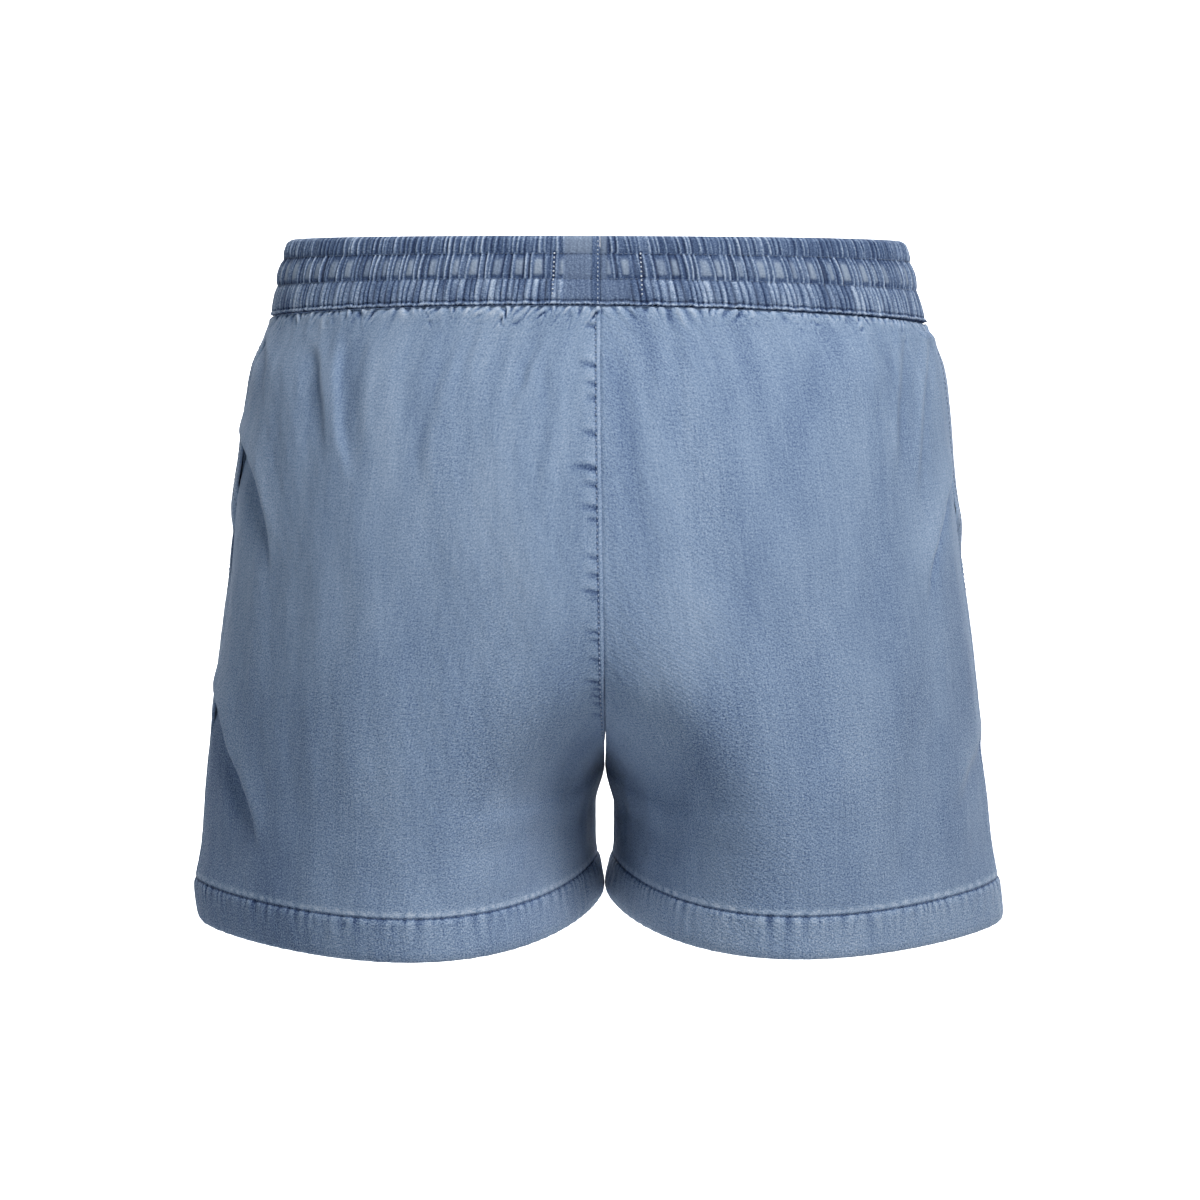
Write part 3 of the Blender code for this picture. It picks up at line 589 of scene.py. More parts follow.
def panel(name, face, side, columns, material):
    """One leg panel from waist seam to hem.

    The worn form, plus folds and soft waves, plus what sewing does to the cloth: a raised
    double layer and puckers beside the centre-back seam, small gathers under the waistband,
    a hem swollen by its turning, pinched along its stitches and puckered below them.
    """
    rows = panel_rows()
    lengths = np.array([angles_along(face, side, row, 0.0)[1] for row in rows])
    gape = MOUTH_GAPE * mouth_shape(rows) if face == FRONT else 0 * rows
    first = SEAM_GAP / 2 + gape
    tuck = TUCK * ramp(rows, CROTCH_HEIGHT, CROTCH_HEIGHT + TUCK_FADES) * (side == LEFT)
    last = lengths - np.where(rows <= CROTCH_HEIGHT, SEAM_GAP / 2, 0.0) + tuck
    even = np.linspace(0.0, 1.0, columns)
    spread = even - CLOSER_AT_EDGES * np.sin(2 * math.pi * even)
    far = first[:, None] + (last - first)[:, None] * spread
    points, outward = smooth_cloth(face, side, rows, far)
    high = rows[:, None] + 0 * far
    seed = 100 + 10 * (face == FRONT) + (side == RIGHT)
    from_centre = np.maximum(lengths[:, None] - far, 0.0)
    past_centre = np.maximum(far - lengths[:, None], 0.0)
    from_waist = rows[0] - high
    from_stitch = high - STITCH_HEIGHT
    below = ramp(from_stitch, 0.6, -0.6)
    body = ramp(from_waist, 0.0, 26.0) * ramp(from_stitch, 0.0, 16.0)
    from_side = far - first[:, None]
    calm = body * ramp(far, 0.0, 20.0) * ramp(from_centre, 0.0, 22.0)

    def uneven(number, across, down):
        """Soft waves on this panel, from a seed of their own."""
        return waves(far, high, seed + number, across, down)

    folded, lip_highlight = fold_push(face, side, far, high)
    push = folded * ramp(from_waist, -2.0, 8.0) * ramp(from_stitch, -4.0, 8.0) * ramp(from_centre, 0.0, 9.0)
    push += 0.9 * calm * uneven(0, 74.0, 170.0)
    push += 0.30 * calm * uneven(1, 24.0, 70.0)
    push += 0.07 * uneven(2, 6.5, 9.0) * ramp(from_stitch, -3.0, 6.0)
    push += MOUTH_LIFT[face] * mouth_shape(high) * np.exp(-np.abs(from_side) / MOUTH_LIFT_REACH)
    broad = push.copy()

    wear_and_painted_light = 0.05 * uneven(3, 15.0, 90.0) * ramp(from_waist, 150.0, 10.0)
    # Folds: paler where raised, as rubbed wear; darker where sunk, as painted shade; and a painted highlight
    # along deep folds' lips.
    wear_and_painted_light += FOLD_WEAR_AND_SHADE[face] * body * np.clip(folded, -0.9, 1.4) + 0.22 * body * lip_highlight
    # Painted shade of light from above: on the wearer's left the cloth is paler high up and darker low down
    # near the side seam; on the right it is a little darker low down. The right hem is also paler below its
    # stitches.
    if side == LEFT:
        wear_and_painted_light += 0.11 * ramp(high, -190.0, -120.0) - 0.20 * ramp(high, -170.0, -240.0) * ramp(far, 130.0, 60.0)
    else:
        wear_and_painted_light += 0.20 * below - 0.05 * ramp(high, -110.0, -170.0)
    wear_and_painted_light += 0.12 * hump(far, 1.5, 1.6) + 0.05 * uneven(4, 50.0, 80.0)

    # Gathers under the waistband. Their dips are darkened as painted shade, their ridges made a little paler.
    under = puckers(far, from_waist, lengths[0] + 6.0, seed + 5, *WAIST_PUCKERS)
    under = under * (0.7 + 0.5 * uneven(9, 5.0, 5.0))
    push += 1.7 * under
    wear_and_painted_light += 1.9 * np.minimum(under, 0.22) + 0.12 * hump(from_waist, 2.0, 1.8)
    push -= hump(from_waist, 0.0, 0.9)
    if side == RIGHT:
        push += hump(from_side, 0.0, 16.0) * (1.2 * hump(from_waist, 7.5, 2.6) - ramp(from_waist, 5.2, 3.4))

    # The hem: swollen below its stitches, pinched along them, puckered, and rounded at its edge.
    pinch = puckers(far, np.abs(from_stitch), lengths[-1] + 2.0, seed + 6, *HEM_PUCKERS)
    swell = ramp(from_stitch, 0.0, -3.0) * ramp(high, HEM_HEIGHT, HEM_HEIGHT + 5.0)
    push += 0.45 * swell - 0.55 * hump(from_stitch, 0.0, 0.6)
    push += (0.60 * below + 0.22 * (1 - below)) * pinch
    push -= np.exp(-((high - HEM_HEIGHT) / 0.8))
    push += 0.16 * below * uneven(7, 10.0, 14.0)
    wear_and_painted_light += 0.55 * hump(from_stitch, 2.0, 1.4) * (0.8 + 0.5 * uneven(8, 6.0, 5.0))
    # The hem puckers' dips are darkened as painted shade and their ridges paler; a dark line runs along the
    # stitches.
    wear_and_painted_light += (0.75 * below + 0.2) * pinch - 0.95 * hump(from_stitch, -0.1, 0.45)
    wear_and_painted_light += 0.20 * hump(high, HEM_HEIGHT, 1.0) - 0.04 * below

    # Seams: each edge turns in, and the left back lies double beside the centre seam.
    above_crotch = ramp(high, CROTCH_HEIGHT, CROTCH_HEIGHT + 12.0)
    push -= 0.6 * hump(from_centre, 0.0, 0.7) + 0.5 * hump(from_side, 0.0, 0.7)
    push -= TUCK_DEPTH * ramp(past_centre, 0.0, 0.9)
    if face == BACK and side == LEFT:
        push += 0.30 * above_crotch * ramp(from_centre, 2.5, 1.4)
        push -= 0.35 * above_crotch * hump(from_centre, SEAM_STITCHES_OFF, 0.5)
        wear_and_painted_light += above_crotch * 0.10 * hump(from_centre, 0.9, 0.6)
        # Painted shade: the groove along the centre-back stitches is darkened.
        wear_and_painted_light -= above_crotch * 0.62 * hump(from_centre, SEAM_STITCHES_OFF, 0.5)
        for height, length, depth in SEAM_PUCKERS:
            slant = high - height - 0.35 * (from_centre - 3.0) * np.exp(-from_centre / 9.0)
            near = ramp(from_centre, 1.6, 2.3)
            line = hump(slant, 0.0, 1.0) * ramp(from_centre, 2.0 + length, 3.0) * near
            ridge = hump(slant, 2.0, 1.1) * ramp(from_centre, 1.5 + length, 2.5) * near
            push += depth * (0.8 * ridge - line)
            # Each pucker's crease is darkened as painted shade, its ridge a little paler.
            wear_and_painted_light += depth * (0.35 * ridge - 1.5 * line)
    if face == BACK and side == RIGHT:
        wear_and_painted_light += above_crotch * 0.05 * hump(from_centre, 1.6, 1.6)
    outer = points + outward * push[..., None]
    wall = np.where(rows < STITCH_HEIGHT, HEM_WALL, WALL)[:, None]
    inner = points + outward * (broad - wall)[..., None]
    crinkle = 0.25 + 0.75 * ramp(high, -110.0, -225.0) * ramp(from_centre, 0.0, 40.0)
    crinkle = crinkle + 0.35 * below + 0.15 * uneven(10, 60.0, 60.0)
    obj = shell(name, outer, inner, (far, high), (wear_and_painted_light, 0.0, crinkle), material)
    return {
        "object": obj, "rows": rows, "first": first, "last": last, "spread": spread,
        "points": outer, "outward": outward, "lengths": lengths,
    }


def on_panel(cloth, far, heights):
    """Points on a finished panel at distances from the side seam and heights, and the directions out."""
    row = np.interp(-heights, -cloth["rows"], np.arange(len(cloth["rows"])))
    first = np.interp(-heights, -cloth["rows"], cloth["first"])
    last = np.interp(-heights, -cloth["rows"], cloth["last"])
    share = np.clip((far - first) / (last - first), 0.0, 1.0)
    col = np.interp(share, cloth["spread"], np.arange(len(cloth["spread"])))
    return between(cloth["points"], row, col), between(cloth["outward"], row, col)


def between(grid, row, col):
    """A grid's values at fractional rows and columns."""
    i = np.clip(row.astype(int), 0, grid.shape[0] - 2)
    j = np.clip(col.astype(int), 0, grid.shape[1] - 2)
    r, c = (row - i)[:, None], (col - j)[:, None]
    upper = grid[i, j] * (1 - c) + grid[i, j + 1] * c
    lower = grid[i + 1, j] * (1 - c) + grid[i + 1, j + 1] * c
    return upper * (1 - r) + lower * r


# ---- waistband

def ring(turn, heights):
    """A point on the waistband's middle surface and the direction out. turn is 90 degrees at the back."""

    def at(turn, heights):
        """An ellipse with its own half-width at each side and half-depth at back and front."""
        across = np.cos(turn)
        deep = np.sin(turn)
        width = np.where(across >= 0, outline("left", heights), outline("right", heights))
        depth = np.where(deep >= 0, outline("back", heights), outline("front", heights))
        return np.stack([across * width, deep * depth, heights + 0 * turn], axis=-1)

    small = 1e-3
    outward = np.cross(at(turn + small, heights) - at(turn - small, heights), (0.0, 0.0, 1.0))
    return at(turn, heights), unit(outward)


def band_length():
    """Turns round the band and the distance along it from the centre-back join, wearer's left first."""
    turns = math.pi / 2 + np.linspace(0.0, -2 * math.pi, 4 * ARC_SAMPLES)
    points = ring(turns, np.zeros(turns.shape))[0]
    travelled = np.concatenate([[0.0], np.cumsum(np.linalg.norm(np.diff(points, axis=0), axis=1))])
    return turns, travelled


def channel_gathers(along, local, whole, number):
    """Height and tone of one channel's gathers, pale where rubbed and darkened in their grooves and dips as
    painted shade, and how warm their colour is.

    Narrow crests at uneven places, bell-shaped across, each with a groove on one side, as a
    small pleat has. They lean outwards on their way down, because the band widens. Between
    them the cloth is flat, and in wide gaps it is raised and rubbed pale: as a pillow in the
    middle channel and as a wedge in the bottom one.
    """
    channel = dict(zip(CHANNEL_COLUMNS, CHANNELS[number]))
    height = (channel["end"] - channel["start"]) * BAND_HEIGHT
    draw = np.random.default_rng(40 + number)
    upper, wide = ridge_places(
        whole, channel["pitch"], 50 + number, channel["uneven"], channel["wide_share"], channel["wide"]
    )
    count = len(upper)
    shift = np.clip(draw.normal(0.0, 0.42, count), -0.8, 0.8)
    shift[[0, -1]] = 0.0
    away = np.clip(1.8 * np.sin(4 * math.pi * (along - 20.0) / whole), -0.65, 0.30)
    lean = away * (0.20 * height * (local - 0.5) - 0.35 * (2 * local - 1) ** 2)
    phase = np.array([
        np.interp(far, upper + shift * share, np.arange(count))
        for far, share in zip(along - lean, local[:, 0])
    ])
    nearest = np.round(phase).astype(int)
    gap = np.clip(phase.astype(int), 0, count - 2)
    widths = np.diff(upper)
    off = (phase - nearest) * widths[gap]
    half = channel["crest"] * draw.uniform(0.75, 1.25, count)[nearest]
    tall = draw.uniform(0.45, 1.15, count)[nearest]
    turned = np.where(draw.random(count) < 0.5, -1.0, 1.0)[nearest]
    deep = draw.uniform(0.3, 1.0, count)[nearest]
    crest = tall * hump(off, 0.0, half)
    groove = deep * hump(off, turned * (half + 0.55), 0.42)

    slope = channel["wedge"] * np.where(draw.random(count - 1) < 0.35, -1.0, 1.0)
    share = np.clip(0.52 + slope[gap] * (local - 0.5), 0.06, 0.86)
    inside = ramp(share / 2 - np.abs(phase - gap - 0.5), -0.14, 0.12)
    strength = np.where(wide, draw.uniform(0.65, 1.1, count - 1), draw.uniform(0.0, 0.25, count - 1))
    pale = channel["pale"] * inside * strength[gap]
    if number == 1:
        pale = pale * ramp(np.abs(local - 0.53), 0.36, 0.24)
    gathered = 0.40 + 0.60 * np.sin(math.pi * local) ** 0.5
    form = 0.85 * crest - 0.55 * groove + 0.45 * pale - 0.15
    # Rubbed crests and pads are paler; each groove is darkened as painted shade.
    worn_and_painted_light = 1.05 * crest - 0.95 * groove + 0.75 * pale - 0.24

    # Flat-topped gathers instead: a narrow dip between neighbours, darkened as painted shade, each worn more
    # or less.
    dip = (2 * np.abs(phase - nearest)) ** 5
    level = draw.uniform(-0.10, 0.85, count)[nearest]
    slant = 0.7 * draw.uniform(-1.0, 1.0, count)[nearest] * (local - 0.5)
    top = channel["flat_topped"]
    form = (1 - top) * form + top * (0.45 + 0.3 * level - 1.0 * dip)
    worn_and_painted_light = (1 - top) * worn_and_painted_light + top * (level + slant - 1.45 * dip)
    return gathered * form, worn_and_painted_light, channel["warm"] * pale


def waistband(name, material):
    """The elasticated band, from its folded top edge to the corded ridge over the waist seam.

    Three channels that bulge between stitch lines, each with its own gathers, and a flat patch
    beside the centre-back join where the elastic ends are caught down.
    """
    turns, travelled = band_length()
    whole = travelled[-1]
    even = np.linspace(0.0, 1.0, BAND_COLUMNS)
    even = even - BAND_CLOSER_AT_BACK * np.sin(2 * math.pi * even) / (2 * math.pi)
    along = SEAM_GAP / 2 + (whole - SEAM_GAP) * even[None, :]
    down = np.concatenate([
        np.linspace(0.0, 0.06, 6)[:-1], np.linspace(0.06, 0.90, 26)[:-1], np.linspace(0.90, 1.0, 13),
    ])[:, None]
    turn = np.interp(along, travelled, turns)
    upper = edge_line(BAND_TOP, np.cos(turn), np.sin(turn))
    lower = edge_line(BAND_BOTTOM, np.cos(turn), np.sin(turn)) + SEAM_GAP / 2
    heights = upper + (lower - upper) * down
    turn = turn + 0 * down
    along = along + 0 * down
    down = down + 0 * along
    points, outward = ring(turn, heights)
    beyond = whole - along
    from_top = upper - heights
    from_bottom = heights - lower

    push = np.full(along.shape, -0.35)
    wear_and_painted_light = np.zeros(along.shape)
    thin = np.zeros(along.shape)
    for number, values in enumerate(CHANNELS):
        channel = dict(zip(CHANNEL_COLUMNS, values))
        local = np.clip((down - channel["start"]) / (channel["end"] - channel["start"]), 0.0, 1.0)
        here = (down >= channel["start"]) & ((down < channel["end"]) | (channel["end"] == 1.0))
        form, pale, warm = channel_gathers(along, local, whole, number)
        flat = ramp(along, FLAT_PATCH + 0.8, FLAT_PATCH - 0.6)
        flat = np.maximum(flat, ramp(beyond, FLAT_BEYOND_JOIN[number] + 0.8, FLAT_BEYOND_JOIN[number] - 0.6))
        bulge = channel["bulge"] * np.sin(math.pi * local) ** 0.6
        push += np.where(here, bulge * (1 - 0.35 * flat) + (1 - flat) * form, 0.0)
        wear_and_painted_light += np.where(here, (1 - flat) * pale + flat * (0.12, 0.02, 0.0)[number], 0.0)
        thin += np.where(here, (1 - flat) * warm + flat * (0.45, 0.2, 0.1)[number], 0.0)
    for line in STITCH_LINES:
        near = (down - line) * BAND_HEIGHT + 0.15 * np.sin(along / 3.3)
        push -= 0.30 * hump(near, 0.0, 0.6)
        wear_and_painted_light -= 0.26 * hump(near, 0.0, 0.6)
    push += 0.07 * waves(along, heights, 71, 2.1, 9.0) + 0.04 * waves(along, heights, 72, 3.0, 3.0)
    wear_and_painted_light += 0.08 * waves(along, heights, 73, 2.0, 14.0) + 0.07 * waves(along, heights, 74, 30.0, 30.0)
    wear_and_painted_light -= 0.07 * ramp(beyond, 260.0, 200.0)
    for stay in STAY_STITCHES:
        beside = hump(along, stay % whole, 0.9) * ramp(down, 0.20, 0.24) * ramp(down, 0.84, 0.80)
        push -= 0.35 * beside
        wear_and_painted_light -= 0.60 * beside

    # The strip of double cloth at the join.
    strip = ramp(along, JOIN_STRIP + 0.4, JOIN_STRIP - 0.4)
    push += 0.35 * strip - 0.6 * hump(np.minimum(along, beyond), 0.0, 0.5)
    wear_and_painted_light -= 0.20 * strip + 0.10 * hump(np.minimum(along, beyond), 0.0, 0.6)
    thin *= 1 - strip

    # The folded top edge, and the corded ridge over the waist seam with the hollow above it. Dark dashes in
    # the hollow and a dark line in the seam's crevice below the cord are painted shade.
    push -= 1.1 * hump(from_top, 0.0, 0.8)
    wear_and_painted_light += 0.16 * hump(from_top, 0.5, 0.8)
    turned = 2 * math.pi * (along + 1.1 * waves(along, 0 * down, 77, 5.0, 1.0)) / CORD_PITCH
    wander = 0.20 * waves(along, 0 * down, 75, 9.0, 1.0) + 0.22 * np.sin(turned)
    cord = hump(from_bottom, 1.15 + wander, 0.48)
    push = push * (1 - 0.75 * cord) + 0.75 * cord - 0.45 * hump(from_bottom, 2.3 + wander, 0.5)
    seam = 1.5 * hump(from_bottom, 0.1 + 0.6 * wander, 0.45)
    push -= seam
    wear_and_painted_light = wear_and_painted_light * (1 - 0.6 * cord) + (0.50 + 0.25 * np.cos(turned)) * cord
    hollow_shade = 0.60 + 0.50 * np.sin(turned)
    wear_and_painted_light -= hollow_shade * hump(from_bottom, 2.25 + wander, 0.45) + seam

    outer = points + outward * push[..., None]
    inner = points - outward * BAND_WALL
    obj = shell(name, outer, inner, (along, heights), (wear_and_painted_light, thin, 0.3), material)
    return {
        "object": obj, "points": outer, "outward": outward,
        "whole": whole, "down": down[:, 0], "along": along[0],
    }


def on_band(band, along, down):
    """Points on the finished band at distances from the join and shares of the way down."""
    along = np.mod(along, band["whole"])
    col = np.interp(along, band["along"], np.arange(len(band["along"])))
    row = np.interp(down, band["down"], np.arange(len(band["down"])))
    return between(band["points"], row, col), between(band["outward"], row, col)


# ---- pockets

def pocket_layer(name, side, layer, material):
    """One layer of a pocket bag: a soft sheet behind the front panel, with a rounded outline."""
    count_rows, count_columns = BAG_GRID
    even = (1 - np.cos(np.linspace(0.0, math.pi, count_rows))) / 2
    rows = BAG_TOP + (BAG_BOTTOM - BAG_TOP) * even
    from_middle = 2 * (BAG_ENDS[0] + (BAG_ENDS[1] - BAG_ENDS[0]) * even) - 1
    full = np.sqrt(1 - np.abs(from_middle) ** BAG_ROUNDNESS)
    widths = BAG_WIDTH * (BAG_NARROWEST + (1 - BAG_NARROWEST) * full)
    start = -BAG_BEHIND_BACK if layer == "inner" else BAG_START
    across = np.linspace(0.0, 1.0, count_columns)
    far = start + (widths - start)[:, None] * across
    high = rows[:, None] + 0 * far
    points, outward = smooth_cloth(FRONT, side, rows, far)
    free = ramp(far, 0.0, BAG_HANGS_FREE_AT)
    depth = WALL + BAG_CLEARANCE_AT_SEAM + (BAG_CLEARANCE_INSIDE - BAG_CLEARANCE_AT_SEAM) * free
    seed = 200 + (side == RIGHT)
    depth = depth + 0.5 * free * waves(far, high, seed, 40.0, 60.0)
    if layer == "inner":
        depth = depth + BAG_WALL + 0.3
    depth = depth[..., None]
    worn_and_painted_light = 0.1 * waves(far, high, seed + 2, 20.0, 40.0)
    inner = points - outward * (depth + BAG_WALL)
    return shell(name, points - outward * depth, inner, (far, high), (worn_and_painted_light, 0.0, 0.3), material)


# ---- stitches

def tubes(name, centre, up, across, thick, material):
    """Closed six-sided tubes. centre is the middle of each tube's rings, in millimetres, up and
    across are the directions at right angles to the tube, and thick is the rings' radii."""
    spin = np.linspace(0.0, 2 * math.pi, TUBE_SIDES, endpoint=False)[:, None]
    ring = np.cos(spin) * up[:, :, None] + np.sin(spin) * across[:, :, None]
    points = centre[:, :, None] + thick[:, None, None] * ring
    index = np.arange(len(thick) * TUBE_SIDES).reshape(len(thick), TUBE_SIDES)
    after = np.roll(index, -1, axis=1)
    quads = np.stack([index[:-1], after[:-1], after[1:], index[1:]], axis=-1).reshape(-1, 4)
    caps = np.stack([index[0][::-1], index[-1]])
    shift = index.size * np.arange(len(centre))[:, None, None]
    faces = (quads + shift).reshape(-1, 4).tolist() + (caps + shift).reshape(-1, TUBE_SIDES).tolist()
    mesh = bpy.data.meshes.new(name)
    mesh.from_pydata((points.reshape(-1, 3) * MM).tolist(), [], faces)
    mesh.shade_smooth()
    return place(name, mesh, material)


def stitches(name, runs, radius, material):
    """Short threads, each a spindle from one needle hole to the next.

    runs are where the stitches start and end, with the direction out. A spindle's thickness is
    the square root of the sine of its way along, and it stands highest in the middle.
    """
    starts, ends, outs = (np.concatenate(parts) for parts in zip(*runs))
    run = ends - starts
    tangent = unit(run)
    up = unit(outs - (outs * tangent).sum(-1, keepdims=True) * tangent)[:, None]
    way, thick, rise = np.array(SPINDLE).T
    centre = starts[:, None] + run[:, None] * way[:, None] + up * (radius * rise)[:, None]
    return tubes(name, centre, up, np.cross(tangent[:, None], up), radius * thick, material)


def thread_end(name, start, route, radius, material):
    """A trimmed thread end: a tube on a smooth curve through points given from start."""
    path = rounded(start + np.array(route, float), pieces=6)
    tangent = unit(np.gradient(path, axis=0))
    side = unit(np.cross(tangent, (0.0, 1.0, 0.0)))
    taper = radius * np.linspace(1.0, 0.5, len(path))
    return tubes(name, path[None], side[None], np.cross(tangent, side)[None], taper, material)


def sew(on_cloth, cloth, holes, ends):
    """Where stitches start and end on a cloth, and the directions out of it."""
    points, out = on_cloth(cloth, *holes)
    return points, on_cloth(cloth, *ends)[0], out


def band_run(band, down, start, end, pitch, cover=STITCH_COVER, slant=0.0):
    """Stitches along the band at one share of the way down, each slanting down by slant."""
    at = np.linspace(start, end, int(abs(end - start) / pitch))
    return sew(on_band, band, (at, down + 0 * at), (at + pitch * cover, down + slant + 0 * at))


def band_upright(band, along, start, end, pitch, cover):
    """Stitches down the band at one distance from the join."""
    at = np.linspace(start, end, int((end - start) * BAND_HEIGHT / pitch))
    return sew(on_band, band, (along + 0 * at, at), (along + 0 * at, at + pitch * cover / BAND_HEIGHT))


def hem_run(cloth, height, pitch):
    """Stitches round a leg at one height."""
    length = np.interp(-height, -cloth["rows"], cloth["lengths"])
    at = 0.6 + pitch * np.arange(int((length - 1.6) / pitch))
    return sew(on_panel, cloth, (at, height + 0 * at), (at + pitch * STITCH_COVER, height + 0 * at))


def seam_run(cloth, edge, off, top, bottom, pitch, cover=STITCH_COVER):
    """Stitches down a panel at one distance from its first edge, the side seam, or its last."""
    heights = top - pitch * np.arange(int((top - bottom) / pitch))
    lower = heights - pitch * cover
    far, far_lower = (np.interp(-at, -cloth["rows"], cloth[edge]) + off for at in (heights, lower))
    return sew(on_panel, cloth, (far, heights), (far_lower, lower))


# ---- finishes

def colour(hex_code):
    """A hex sRGB colour as linear red, green, blue and alpha."""
    values = [int(hex_code[i:i + 2], 16) / 255 for i in (1, 3, 5)]
    linear = [v / 12.92 if v <= 0.04045 else ((v + 0.055) / 1.055) ** 2.4 for v in values]
    return (*linear, 1.0)


def add(tree, kind, settings=(), links=()):
    """Adds a node. settings gives its own properties by name or its sockets' values by name or
    number, and links joins its sockets to other nodes' outputs."""
    made = tree.nodes.new("ShaderNode" + kind)
    for key, value in dict(settings).items():
        if isinstance(key, str) and hasattr(made, key):
            setattr(made, key, value)
        else:
            made.inputs[key].default_value = value
    for key, output in dict(links).items():
        tree.links.new(output, made.inputs[key])
    return made


def new_material(name, **settings):
    """A material, its nodes, its shader with the sockets that settings gives, and Object coordinates."""
    material = bpy.data.materials.new(name)
    material.use_nodes = True
    tree = material.node_tree
    shader = tree.nodes["Principled BSDF"]
    for socket, value in settings.items():
        shader.inputs[socket.replace("_", " ")].default_value = value
    return material, tree, shader, add(tree, "TexCoord").outputs["Object"]


def woven_cloth(name, tones, wear_and_light_strength, thin_colour, sheen):
    """Washed indigo lyocell in a fine twill, garment-dyed and rinsed soft.

    Long fibres give a soft matt face with a faint silky sheen. Rinsing leaves cloudy upright
    streaks and pale rubbed ridges, and the slubs roughen the twill's diagonal ribs. The pieces'
    wear mark also carries painted shade in dips, creases and grooves and a painted highlight on
    fold lips. Real threads are about 0.35 mm apart, too fine to show, so the twill is drawn at
    about three times that. The tone is a sum of the wear mark, painted light and shade included,
    and noises, and so is the relief.
    """
    material, tree, shader, solid = new_material(
        name, Metallic=0.0, IOR=1.46, Specular_IOR_Level=0.28, Sheen_Weight=sheen,
        Sheen_Roughness=0.45, Sheen_Tint=colour("#c6d2e2"),
    )
    plain = {"Object": solid, "UV": add(tree, "UVMap", {"uv_map": "cloth"}).outputs["UV"]}
    made = {}
    for mark in ("wear_and_painted_light", "crinkle", "thin"):
        made[mark] = add(tree, "Attribute", {"attribute_name": mark}).outputs["Fac"]
    for pattern, vector, across_mm, down_mm, detail, rough in CLOTH_PATTERNS:
        scale = (1000 / across_mm, 1000 / down_mm, 1000 / down_mm)
        moved = add(tree, "Mapping", {"Scale": scale}, {"Vector": plain[vector]}).outputs[0]
        settings = {"Scale": 1.0, "Detail": detail, "Roughness": rough}
        made[pattern] = add(tree, "TexNoise", settings, {"Vector": moved}).outputs["Fac"]
    ribs = add(tree, "Mapping", {"Rotation": (0.0, 0.0, TWILL_ANGLE)}, {"Vector": plain["UV"]})
    made["twill"] = add(tree, "TexWave", {
        "wave_type": "BANDS", "bands_direction": "X", "Scale": 1000 / TWILL_PITCH / 20.0 * math.pi,
        "Distortion": 1.2, "Detail": 2.0, "Detail Scale": 2.5,
    }, {"Vector": ribs.outputs[0]}).outputs["Fac"]

    # Sums: what each is called, its operation, and its numbers or what else it is made of. The
    # three noises between the clouds and the speckle average 0.5 each, and 0.28 takes that off.
    for result, operation, *values in (
        ("worn_and_painted_light", "MULTIPLY_ADD", "wear_and_painted_light", wear_and_light_strength, 0.5),
        ("cloudy", "MULTIPLY_ADD", "clouds", 0.22, -0.11),
        ("tone", "ADD", "worn_and_painted_light", "cloudy"),
        ("tone", "MULTIPLY_ADD", "streaks", 0.14, "tone"),
        ("tone", "MULTIPLY_ADD", "slubs_down", 0.22, "tone"),
        ("tone", "MULTIPLY_ADD", "slubs_across", 0.20, "tone"),
        ("tone", "SUBTRACT", "tone", 0.28),
        ("contrast", "MULTIPLY_ADD", "crinkle", 0.75, 0.95),
        ("speckle", "MULTIPLY_ADD", "speckle", 1.0, -0.5),
        ("tone", "MULTIPLY_ADD", "speckle", "contrast", "tone"),
        ("creases", "MULTIPLY", "crepe", "crinkle"),
        ("relief", "MULTIPLY_ADD", "twill", 0.45, "fuzz"),
        ("relief", "MULTIPLY_ADD", "creases", 2.6, "relief"),
        ("roughness", "MULTIPLY_ADD", "fuzz", 0.10, 0.80),
    ):
        numbers = {i: value for i, value in enumerate(values) if isinstance(value, float)}
        joined = {i: made[value] for i, value in enumerate(values) if isinstance(value, str)}
        made[result] = add(tree, "Math", {"operation": operation, **numbers}, joined).outputs[0]

    shades = add(tree, "ValToRGB", {}, {"Fac": made["tone"]})
    bar = shades.color_ramp
    while len(bar.elements) < len(tones):
        bar.elements.new(0.5)
    for element, position, hex_code in zip(bar.elements, TONE_PLACES, tones):
        element.position = position
        element.color = colour(hex_code)
    pale = add(tree, "Mix", {"data_type": "RGBA", 7: colour(thin_colour)},
               {0: made["thin"], 6: shades.outputs["Color"]})
    raised = add(tree, "Bump", {"Strength": 0.55, "Distance": 0.00022}, {"Height": made["relief"]})
    tree.links.new(pale.outputs[2], shader.inputs["Base Color"])
    tree.links.new(made["roughness"], shader.inputs["Roughness"])
    tree.links.new(raised.outputs["Normal"], shader.inputs["Normal"])
    return material


def thread(name, dark, light):
    """Spun polyester sewing thread, softly glossy, dyed near the cloth and faded unevenly."""
    material, tree, shader, solid = new_material(name, Roughness=0.55, Sheen_Weight=0.15)
    fade = add(tree, "TexNoise", {"Scale": 1000 / 1.6, "Detail": 2.0}, {"Vector": solid})
    mix = add(tree, "Mix", {"data_type": "RGBA", 6: colour(dark), 7: colour(light)}, {0: fade.outputs["Fac"]})
    tree.links.new(mix.outputs[2], shader.inputs["Base Color"])
    twist = add(tree, "TexNoise", {"Scale": 1000 / 0.3, "Detail": 1.0}, {"Vector": solid})
    raised = add(tree, "Bump", {"Strength": 0.4, "Distance": 0.00008}, {"Height": twist.outputs["Fac"]})
    tree.links.new(raised.outputs["Normal"], shader.inputs["Normal"])
    return material


# ---- studio

